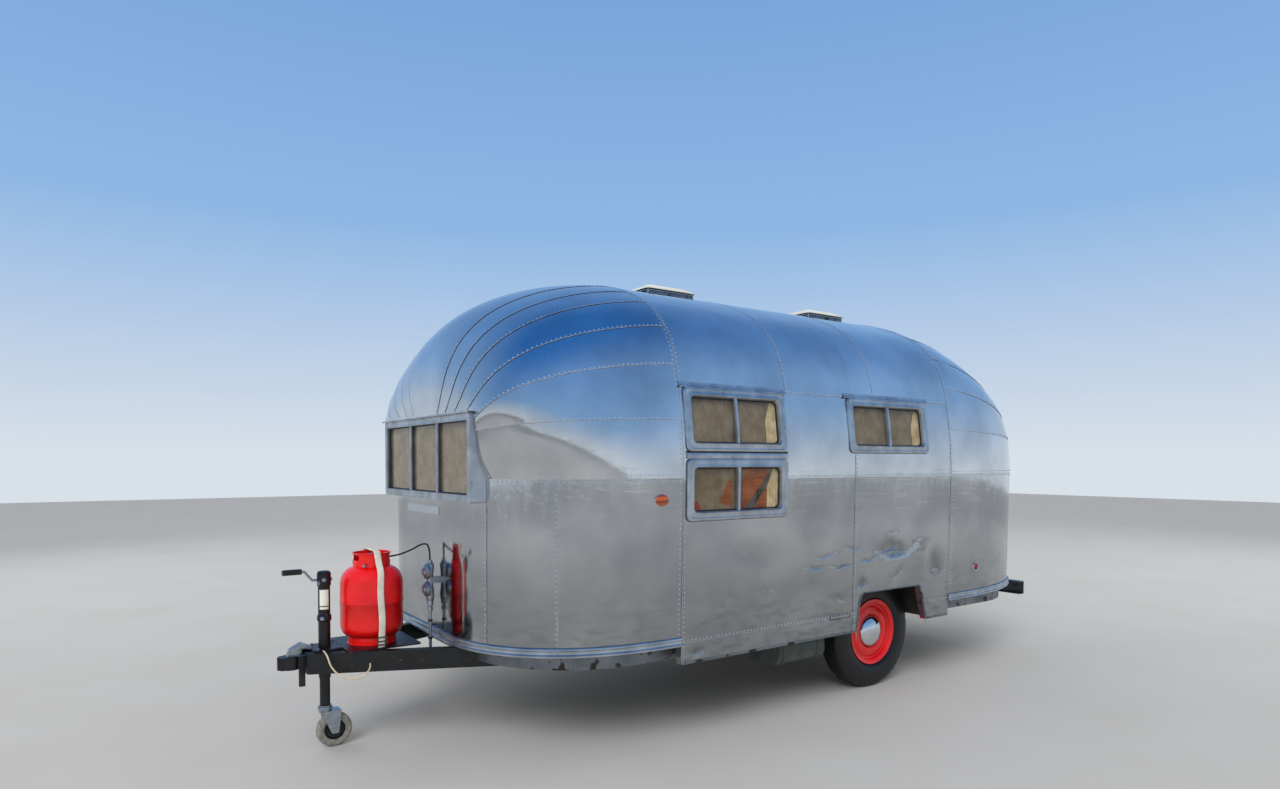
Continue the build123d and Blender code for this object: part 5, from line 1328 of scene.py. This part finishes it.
# Strap: flat webbing from the tray over the collar, and a buckle
strapLine = (
    (170, 0), (166, 150), (162, 300), (157, 352), (143, 384), (118, 412), (99, 452), (95.5, 466),
    (86, 472.5), (60, 474),
)
strapLine = smoothLine(strapLine, 6)
x, z = np.concatenate([strapLine, (strapLine * (-1, 1))[::-1]]).T
z = bottleFoot + z
points = np.stack([x, bottleY + 3.0 * np.sin(z / 45.0), z], -1)
along = np.gradient(points, axis=0)
out = np.cross(along / np.linalg.norm(along, axis=1, keepdims=True), (0, 1.0, 0))
out *= np.sign(np.sum(out * (points - (0, bottleY, bottleFoot + 200)), 1, keepdims=True))
webbing = (
    (-16, -0.6), (-16, 0.6), (-15, 1.3), (-4, 1.5), (4, 1.5), (15, 1.3), (16, 0.6), (16, -0.6), (15, -1.2),
    (-15, -1.2),
)
strap = addPiece("bottleStrapWebbing", cappedRings(sweep(points, (0, 1, 0), out, webbing)), "wovenPolyester")
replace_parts(strap, "bottle_strap")
outline = ((-22, 12), (22, 12), (22, 50), (-22, 50), (-22, 12))
corners = [(173.5, bottleY + a, bottleFoot + b) for a, b in outline]
bars = [*zip(corners, corners[1:]), [(173.5, bottleY + a, bottleFoot + 30) for a in (-22, 22)]]
addPiece("strapBuckle", [rodAlong(np.linspace(*bar, 4), 3.0) for bar in bars], "dirtySteel")

# Gas regulator: pipe, body with union nuts, and two ribbed diaphragm caps that face forwards
regulator = {"x": 165.0, "y": -1940.0, "caps": (775.0, 865.0), "clips": (520.0, 610.0)}
pipeX, pipeY = regulator["x"], regulator["y"]
regulatorAt = (pipeX, pipeY, 0.0)
casting = (
    (715, 0), (715, 17), (722, 20), (746, 21), (800, 16), (840, 16), (892, 21), (903, 20), (908, 15),
    (912, 0),
)
diaphragm = (
    (0, 0), (0, 30), (4, 39), (10, 40), (12, 38), (14, 40), (19, 40), (22, 36), (26, 27), (29, 22),
    (34, 20), (34, 8), (31, 6), (31, 0),
)
parts = [turned(((440, 0), (440, 8), (700, 8), (700, 0)), regulatorAt, upright, 24)]
parts.append(turned(casting, regulatorAt, upright, 32))
for low, high, size in ((660, 684, 14), (690, 716, 17), (908, 917, 15), (917, 925, 11)):
    parts.append(turned(((low, 0), (low, size), (high, size), (high, 0)), regulatorAt, upright, 6))
places = []
for z in regulator["caps"]:
    parts.append(turned(diaphragm, (pipeX, pipeY - 4, z), (0, -1, 0), 48))
    for k in range(6):
        t = math.radians(60 * k + 20)
        places.append((pipeX + 33 * math.cos(t), pipeY - 26.5, z + 33 * math.sin(t)))
parts += bolts(places, (0, -1, 0), 3.0, 3.5, 0.8)
parts.append(boxPatch((pipeX - 18, pipeY + 2, 805), (pipeX + 18, pipeY + 38, 835)))
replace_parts(addPiece("gasRegulatorCasting", parts, "zincPlatedSteel", sharp=30), "gas_regulator")
clip = ((-5, 8.2), (-5, 12), (5, 12), (5, 8.2))
clips = [turned(clip, (pipeX, pipeY, z), upright, 24, True) for z in regulator["clips"]]
addPiece("regulatorPipeClips", clips, "blackExtrudedRubber")
print("bottle and regulator made")


# Cords: smooth lines with the route's points as control points
def addCord(name, points, radius, finish, node):
    curve = bpy.data.curves.new(name, "CURVE")
    curve.dimensions = "3D"
    spline = curve.splines.new("NURBS")
    spline.points.add(len(points) - 1)
    for control, point in zip(spline.points, points):
        control.co = (*point, 1.0)
    spline.order_u = 3
    spline.use_endpoint_u = True
    spline.resolution_u = 16
    curve.bevel_depth = radius
    curve.bevel_resolution = 5
    curve.use_fill_caps = True
    curve.materials.append(finishes[finish])
    piece = bpy.data.objects.new(name, curve)
    bpy.context.collection.objects.link(piece)
    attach(piece, "caravan")
    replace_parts(piece, node)


hosePoints = [
    (0, -2.15, 0.936), (0, -2.065, 0.936), (0.06, -1.995, 0.973), (0.11, -1.96, 1.007), (0.165, -1.94, 1.003),
    (0.165, -1.94, 0.925),
]
addCord("gasHoseLine", hosePoints, 0.0045, "blackExtrudedRubber", "gas_hose")
cablePoints = [
    (0.088, -2.45, 0.505), (0.154, -2.45, 0.505), (0.176, -2.438, 0.443), (0.186, -2.394, 0.389),
    (0.25143, -2.322, 0.383), (0.25743, -2.27, 0.427), (0.20943, -2.26, 0.441),
]
addCord("supplyCableLine", cablePoints, 0.004, "creamCablePlastic", "supply_cable")

# Jack: rolled tube with collar rings, bolts, a blank label, and a ribbed grip on the crank
jack = {
    "y": -2425.0, "plate": (88.0, 65.0, 500.0, 510.0),  # half width, half length, underside and top
    "label": ((716.0, 796.0), (698.0, 711.0)), "gripZ": 891.0,
}
jackY = jack["y"]
tubeLine = (
    (355, 25.2), (355, 28.5), (372, 28.5), (374, 30), (380, 30), (382, 28.5), (500, 28.5), (636, 28.5),
    (640, 33), (644, 34), (662, 34), (666, 33), (670, 28.6), (812, 28.5), (815, 32), (820, 33), (874, 33),
    (882, 31), (887, 24), (888, 12), (888, 0), (824, 0), (824, 25.2),
)
halfX, halfY, low, high = jack["plate"]
plate = roundedOutline(-halfX, halfX, jackY - halfY, jackY + halfY, 14, 6)
top = (plate - (0, jackY)) * 0.985 + (0, jackY)
parts = cappedRings([levelRing(plate, low), levelRing(plate, high - 1.5), levelRing(top, high)])
parts.append(turned(tubeLine, (0, jackY, 0), upright, 64))
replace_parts(addPiece("jackTubeRolled", parts, "blackPaintedSteel", sharp=40), "jack_tube")
places = [(x, jackY + y, high) for x in (-68, 68) for y in (-46, 46)]
normals = [upright] * 4
for z, degrees in ((846, -12), (846, 78), (846, 168), (830, -60), (653, -30), (653, 150)):
    t = math.radians(degrees)
    radius = 34 if z == 653 else 33
    places.append((radius * math.cos(t), jackY + radius * math.sin(t), z))
    normals.append((math.cos(t), math.sin(t), 0))
addPiece("jackBolts", bolts(places, normals, 7, 6), "zincPlatedSteel", sharp=30)
parts = []
t = np.radians(np.linspace(-58, 32, 15))[:, None]
for low, high in jack["label"]:
    radius, z = np.array([(29.1, low), (29.1, high), (28.4, high), (28.4, low)]).T
    parts += cappedRings(np.stack([radius * np.cos(t), jackY + radius * np.sin(t), z + 0 * t], -1))
addPiece("blankJackLabel", parts, "sunYellowedPlastic", slot="white_web")
gripLine = [(-164.6, 0), (-164.6, 10), (-162, 13.4)]
for a in range(-160, -80, 9):
    gripLine += [(a, 14.2), (a + 6, 14.2), (a + 7, 13.4), (a + 8.4, 13.4)]
gripLine += [(-76, 13.6), (-73.4, 9), (-73.4, 0)]
grip = turned(gripLine, (0, jackY - 29.5, jack["gripZ"]), (0, 1, 0), 32)
addPiece("crankGripRibbed", [grip], "blackExtrudedRubber")

# Jockey wheel: crowned solid tyre on a dished disc, and nuts on the fork's pin
jockey = {"at": (0, -2383, 86), "nuts": 33.2, "ringZ": 196.0}
crown = (
    (-17, 50), (-20.5, 56), (-21.8, 66), (-21, 76), (-16, 83.5), (-8, 85.6), (0, 86), (8, 85.6), (16, 83.5),
    (21, 76), (21.8, 66), (20.5, 56), (17, 50),
)
tread = np.concatenate([smoothLine(crown, 4), [(12, 47), (-12, 47)]])
tyre = addPiece("jockeyTyre", [turned(tread, jockey["at"], (1, 0, 0), 72, True)], "greyCastRubber", "jockey")
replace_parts(tyre, "jockey_wheel")
disc = ((-18, 51), (-19, 47), (-12, 43), (-9, 36), (-11, 22), (-20, 17), (-21, 12), (-21, 7.2))
disc += tuple((-a, r) for a, r in disc[::-1])
addPiece("jockeyDisc", [turned(disc, jockey["at"], (1, 0, 0), 56, True)], "blackPaintedSteel", "jockey")
places = [(s * jockey["nuts"], *jockey["at"][1:]) for s in (-1, 1)]
parts = bolts(places, [(s, 0, 0) for s in (-1, 1)], 11, 4.6)
ring = ((0, 30.4), (0, 33), (3, 35), (9, 35), (12, 33), (12, 30.4))
parts.append(turned(ring, (0, jackY, jockey["ringZ"]), upright, 40, True))
addPiece("forkPinNuts", parts, "zincPlatedSteel", "fork")

# Coupler: bolts through the rails' ends, a rubber buffer below, and the latch's pivots
places = [(s * 37, y, 451) for s in (-1, 1) for y in (-2500, -2484)]
addPiece("couplerBolts", bolts(places, [(s, 0, 0) for s in (-1, -1, 1, 1)], 8, 7), "zincPlatedSteel")
tab = roundedOutline(-14, 14, -2546, -2518, 5, 4)
core = (tab - (0, -2532)) * 0.78 + (0, -2532)
rings = [levelRing(tab, z) for z in (421, 400, 350, 328, 326)] + [levelRing(core, z) for z in (326, 421)]
addPiece("couplerBuffer", [ringStack(rings)], "blackExtrudedRubber")
pins = [turned(((-19, 0), (-19, 7), (-16, 8), (16, 8), (19, 7), (19, 0)), (0, -2581, 496), (1, 0, 0), 24)]
pins.append(turned(((-17, 0), (-17, 8), (17, 8), (17, 0)), (0, -2495, 514), (1, 0, 0), 24))
addPiece("latchPivots", pins, "zincPlatedSteel")
print("jack, jockey wheel and cords made")


# Lamps: lenses with pressed rings of prisms in plated bezels. Ring k stands out by
# proud (1 - (1 - k / rings)^2) and falls back half a millimetre inside
def lensPatch(centre, axis, half, proud, rings=5):
    line = [(-10, half * 0.97), (0, half * 0.97)]
    for k in range(rings):
        share = 1 - k / rings
        rise, radius = proud * (1 - share**2) * 0.98, half * 0.97 * share
        line += [(rise + 0.02 * proud, radius), (rise - 0.5, radius - half * 0.05)]
    return turned([*line, (proud, half * 0.08), (proud, 0)], centre, axis, 56)


def bezel(centre, axis, inner, outer, proud, deep):  # rolled rim between two radii, turned on the axis
    rise = proud * 0.7
    line = [(-deep, inner), (-deep, outer), (0, outer), (rise, outer - 0.6), (proud, outer - 2.4)]
    return turned([*line, (proud, inner + 1.2), (rise, inner)], centre, axis, 56, True)


lampSizes = {  # place on the left, and for the round ones half width, height, and the bezel's two radii
    "marker": (1064.2, -1117, 1247), "quarter": ((1050.0, 1545, 720), 24, 16, 23, 30),
    "tail": ((600.0, 2566, 720), 38, 9, 36, 45),
}
markerLens = ((0, 26), (8, 26), (13, 25.2), (17, 22), (20.5, 15), (22, 8), (22.4, 0))
markerRim = ((-6, 25), (-6, 27), (7, 27), (10, 26.6), (11, 25.6), (11, 24.4), (0, 24))
lenses, rims = {"markerLenses": [], "tailLenses": []}, []
for side in (-1, 1):
    for line, group, closed in ((markerLens, lenses["markerLenses"], False), (markerRim, rims, True)):
        points, quads = turned(line, (0, 0, 0), (side, 0, 0), 56, closed)
        group.append((points * (1, 42 / 27, 30 / 27) + lampSizes["marker"] * np.array((side, 1, 1)), quads))
    for kind, axis, proud, deep in (("quarter", (side, 0, 0), 11, 14), ("tail", (0, 1, 0), 6, 100)):
        place, half, high, inner, outer = lampSizes[kind]
        centre = place * np.array((side, 1, 1))
        lenses["tailLenses"].append(lensPatch(centre, axis, half, high))
        rims.append(bezel(centre, axis, inner, outer, proud, deep))
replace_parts(addPiece("markerLenses", lenses["markerLenses"], "amberLens", sharp=40), "marker_lamps")
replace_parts(addPiece("tailLenses", lenses["tailLenses"], "redLens", sharp=40), "tail_lamps")
addPiece("lampBezels", rims, "chromePlate", sharp=40)

# Roof vents: pressed lids with a rolled rim and four folded slopes round a raised panel, on flanged curbs
lidShape = (  # inset and height, from the middle of the underside round the rim to the middle of the top
    (185, 2526), (110, 2524.6), (54, 2526.4), (30, 2514), (8, 2500.6), (4, 2500), (3, 2497), (0, 2497),
    (-0.5, 2501), (0, 2503.5), (5, 2505), (8, 2504.4), (30, 2518), (50, 2529.2), (54, 2530.4), (70, 2530.4),
    (74, 2528.4), (110, 2528.6), (150, 2529.6), (185, 2530.2),
)
curbShape = ((178, 2446), (184, 2446), (184, 2464), (179, 2467), (178, 2488), (176, 2491), (172, 2491))


def squareRing(y, half, z, radius, steps):  # rounded square about the body's middle, laid at a height
    return levelRing(roundedOutline(-half, half, y - half, y + half, radius, steps), z)


curbs = []
for name, y in vents.items():
    rings = [squareRing(y, 192 - max(d, 0), z, max(24 - max(d, 0) * 0.2, 2), 5) for d, z in lidShape]
    lid = addPiece(name + "VentLidPressing", cappedRings(rings), "sunYellowedPlastic", "lid_" + name)
    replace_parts(lid, "vent_lid_" + name)
    rings = [squareRing(y, half, z, 8, 4) for half, z in curbShape]
    curbs.append((np.concatenate(rings), gridQuads(len(rings), len(rings[0]), True)))
addPiece("ventCurbFlanges", curbs, "dullAluminium")
print("lamps and vents made")

# Leaf springs: five leaves a side clamped by bands and two U-bolts, with hangers at both ends
leaves = {"number": 5, "half": 400.0, "shorter": 74.0, "thick": 6.0, "wide": 45.0, "eyeZ": 413.0, "dip": 95.0}
patches, irons = [], []


def leafZ(y):  # height of the main leaf's top
    return leaves["eyeZ"] - leaves["dip"] + leaves["dip"] * (y / leaves["half"]) ** 2


for side in (-1, 1):
    x = side * 620.0
    for k in range(leaves["number"]):
        half, wide = leaves["half"] - leaves["shorter"] * k, leaves["wide"] / 2 - 0.4 * k
        y = np.linspace(-half, half, 26)
        line = np.stack([np.full_like(y, x), axleY + y, leafZ(y) - k * leaves["thick"]], -1)
        edge = ((wide - 1, -5.8), (wide, -4.8), (wide, -1), (wide - 1, 0))
        shape = (*edge, *((-a, out) for a, out in edge[::-1]))
        patches += cappedRings(sweep(line, (1, 0, 0), (0, 0, 1), shape))
    for y in (axleY - 37, axleY + 37):
        loop = [(x - 27, y, 272), (x - 27, y, 384), (x + 27, y, 384), (x + 27, y, 272)]
        irons.append(rodAlong(bentLine(loop, 5), 5.0))
        irons += bolts([(x - 27, y, 274), (x + 27, y, 274)], (0, 0, -1), 8, 8)
    for y in (-190, 190):
        around = ((-24, -26), (-24, 2), (24, 2), (24, -26), (-24, -26))
        band = [(x + a, axleY + y, leafZ(y) + up) for a, up in around]
        irons.append(rodAlong(bentLine(band, 4), 3.0))
    irons += bolts([(x + side * 24, axleY + y, 425) for y in (-380, 380)], (side, 0, 0), 9, 8)
addPiece("springLeaves", patches, "dirtySteel")
addPiece("springIrons", irons, "dirtySteel")

# Blank nameplate under the nose window, and the oblong pressed recess in the left skirt
nameplate = {"low": (-280, -1905.6, 1159), "high": (200, -1903.0, 1201)}
recess = {"y": (93.0, 265.0), "z": (522.0, 542.0), "corner": 9.0}
addPiece("blankNameplate", [boxPatch(nameplate["low"], nameplate["high"])], "pressedAluminium")
rings = []
for d, lift in ((-5, 0.4), (-3, 2.6), (0, 3.0), (2, 0.8), (4, 0.5)):
    yLow, yHigh, zLow, zHigh = np.add(recess["y"] + recess["z"], (d, -d, d, -d))
    y, z = roundedOutline(yLow, yHigh, zLow, zHigh, max(recess["corner"] - d, 3), 6).T
    rings.append(bodyPoint(wallAt(z), y, lift))
count = len(rings[0])
floor = [range(4 * count, 5 * count)]
addPiece("skirtRecess", [(np.concatenate(rings), gridQuads(5, count, True))], "dullAluminium", extra=floor)


# Cabin behind the lower front window: an orange-brown cabinet side and a folded red seat cover
def behindPane(corners, lift, steps=10):  # four corners (y, z) filled in and laid behind the left panes
    u, v = (part.reshape(-1, 1) for part in np.meshgrid(*[np.linspace(0, 1, steps)] * 2, indexing="ij"))
    a, b, c, d = np.array(corners, float)
    y, z = ((a * (1 - u) + b * u) * (1 - v) + (d * (1 - u) + c * u) * v).T
    return bodyPoint(wallAt(z), y, lift), gridQuads(steps, steps)


boards = (
    ((-580, 1180), (-400, 1180), (-400, 1404), (-572, 1404)),
    ((-400, 1180), (-330, 1180), (-330, 1350), (-400, 1354)),
    ((-735, 1222), (-650, 1200), (-650, 1335), (-672, 1340)),
)
band = ((-560, 1180), (-505, 1180), (-362, 1352), (-385, 1372))
cushion = ((-948, 1180), (-852, 1180), (-872, 1232), (-940, 1238))
addPiece("cabinetSide", [behindPane(board, -24.0) for board in boards], "varnishedPly", tidy=False)
# A dull grey diagonal strip laid over the cabinet side: painted diagonal shade
addPiece("cabinetShadeBand", [behindPane(band, -23.2)], "dullAluminium", tidy=False)
addPiece("seatCover", [behindPane(cushion, -24.0)], "dyedCotton", tidy=False)
print("springs, plates and cabin made")

# Screws of the door's hinges and handle, bumper bolts and tank seams
screws = {
    "hingeY": (-471.0, -447.0), "hingeZ": (712.0, 745.0, 778.0, 1252.0, 1285.0, 1318.0),
    "handleY": 125.0, "handleZ": (1023.0, 1137.0), "bumperX": (-385, -415, 385, 415),
}
tank = {
    "x": (640.0, 940.0), "z": (270.0, 420.0), "corner": 55.0,
    "seamsY": (-190.0, 170.0), "filler": (790, -195, 372),
}
y, z = (part.ravel() for part in np.meshgrid(screws["hingeY"], screws["hingeZ"]))
points = bodyPoint(-wallAt(z), y, 8.0)
addRivets("hingeScrews", [(points, np.tile([[-1.0, 0, 0]], (len(y), 1)))], 3.0, 1.8, "zincPlatedSteel")
handleX = bodyPoint(-wallAt(1080.0), screws["handleY"], 6.0)[0]
places = [(handleX, screws["handleY"], z) for z in screws["handleZ"]]
addPiece("handleScrews", bolts(places, (-1, 0, 0), 3.6, 2.4, 0.6), "chromePlate", "door")
places = [(x, 2644.0, 440) for x in screws["bumperX"]]
addPiece("bumperBolts", bolts(places, (0, 1, 0), 8, 1.0, 0.6), "zincPlatedSteel")
filler = ((-2, 0), (-2, 22), (6, 22), (8, 20), (8, 13), (14, 13), (15, 11), (15, 0))
parts = [turned(filler, tank["filler"], (0, -1, 0), 32)]
for y in tank["seamsY"]:
    rings = []
    for grow, out in ((0.5, 0), (1.6, 3), (1.6, 7), (0.5, 10), (-1, 10), (-1, 0)):
        edges = np.add(tank["x"] + tank["z"], (-grow, grow, -grow, grow))
        outline = roundedOutline(*edges, tank["corner"], 8)
        rings.append(uprightRing(outline, y + out))
    parts.append(ringStack(rings))
addPiece("tankSeams", parts, "chalkedTankPaint")
print("small parts made")
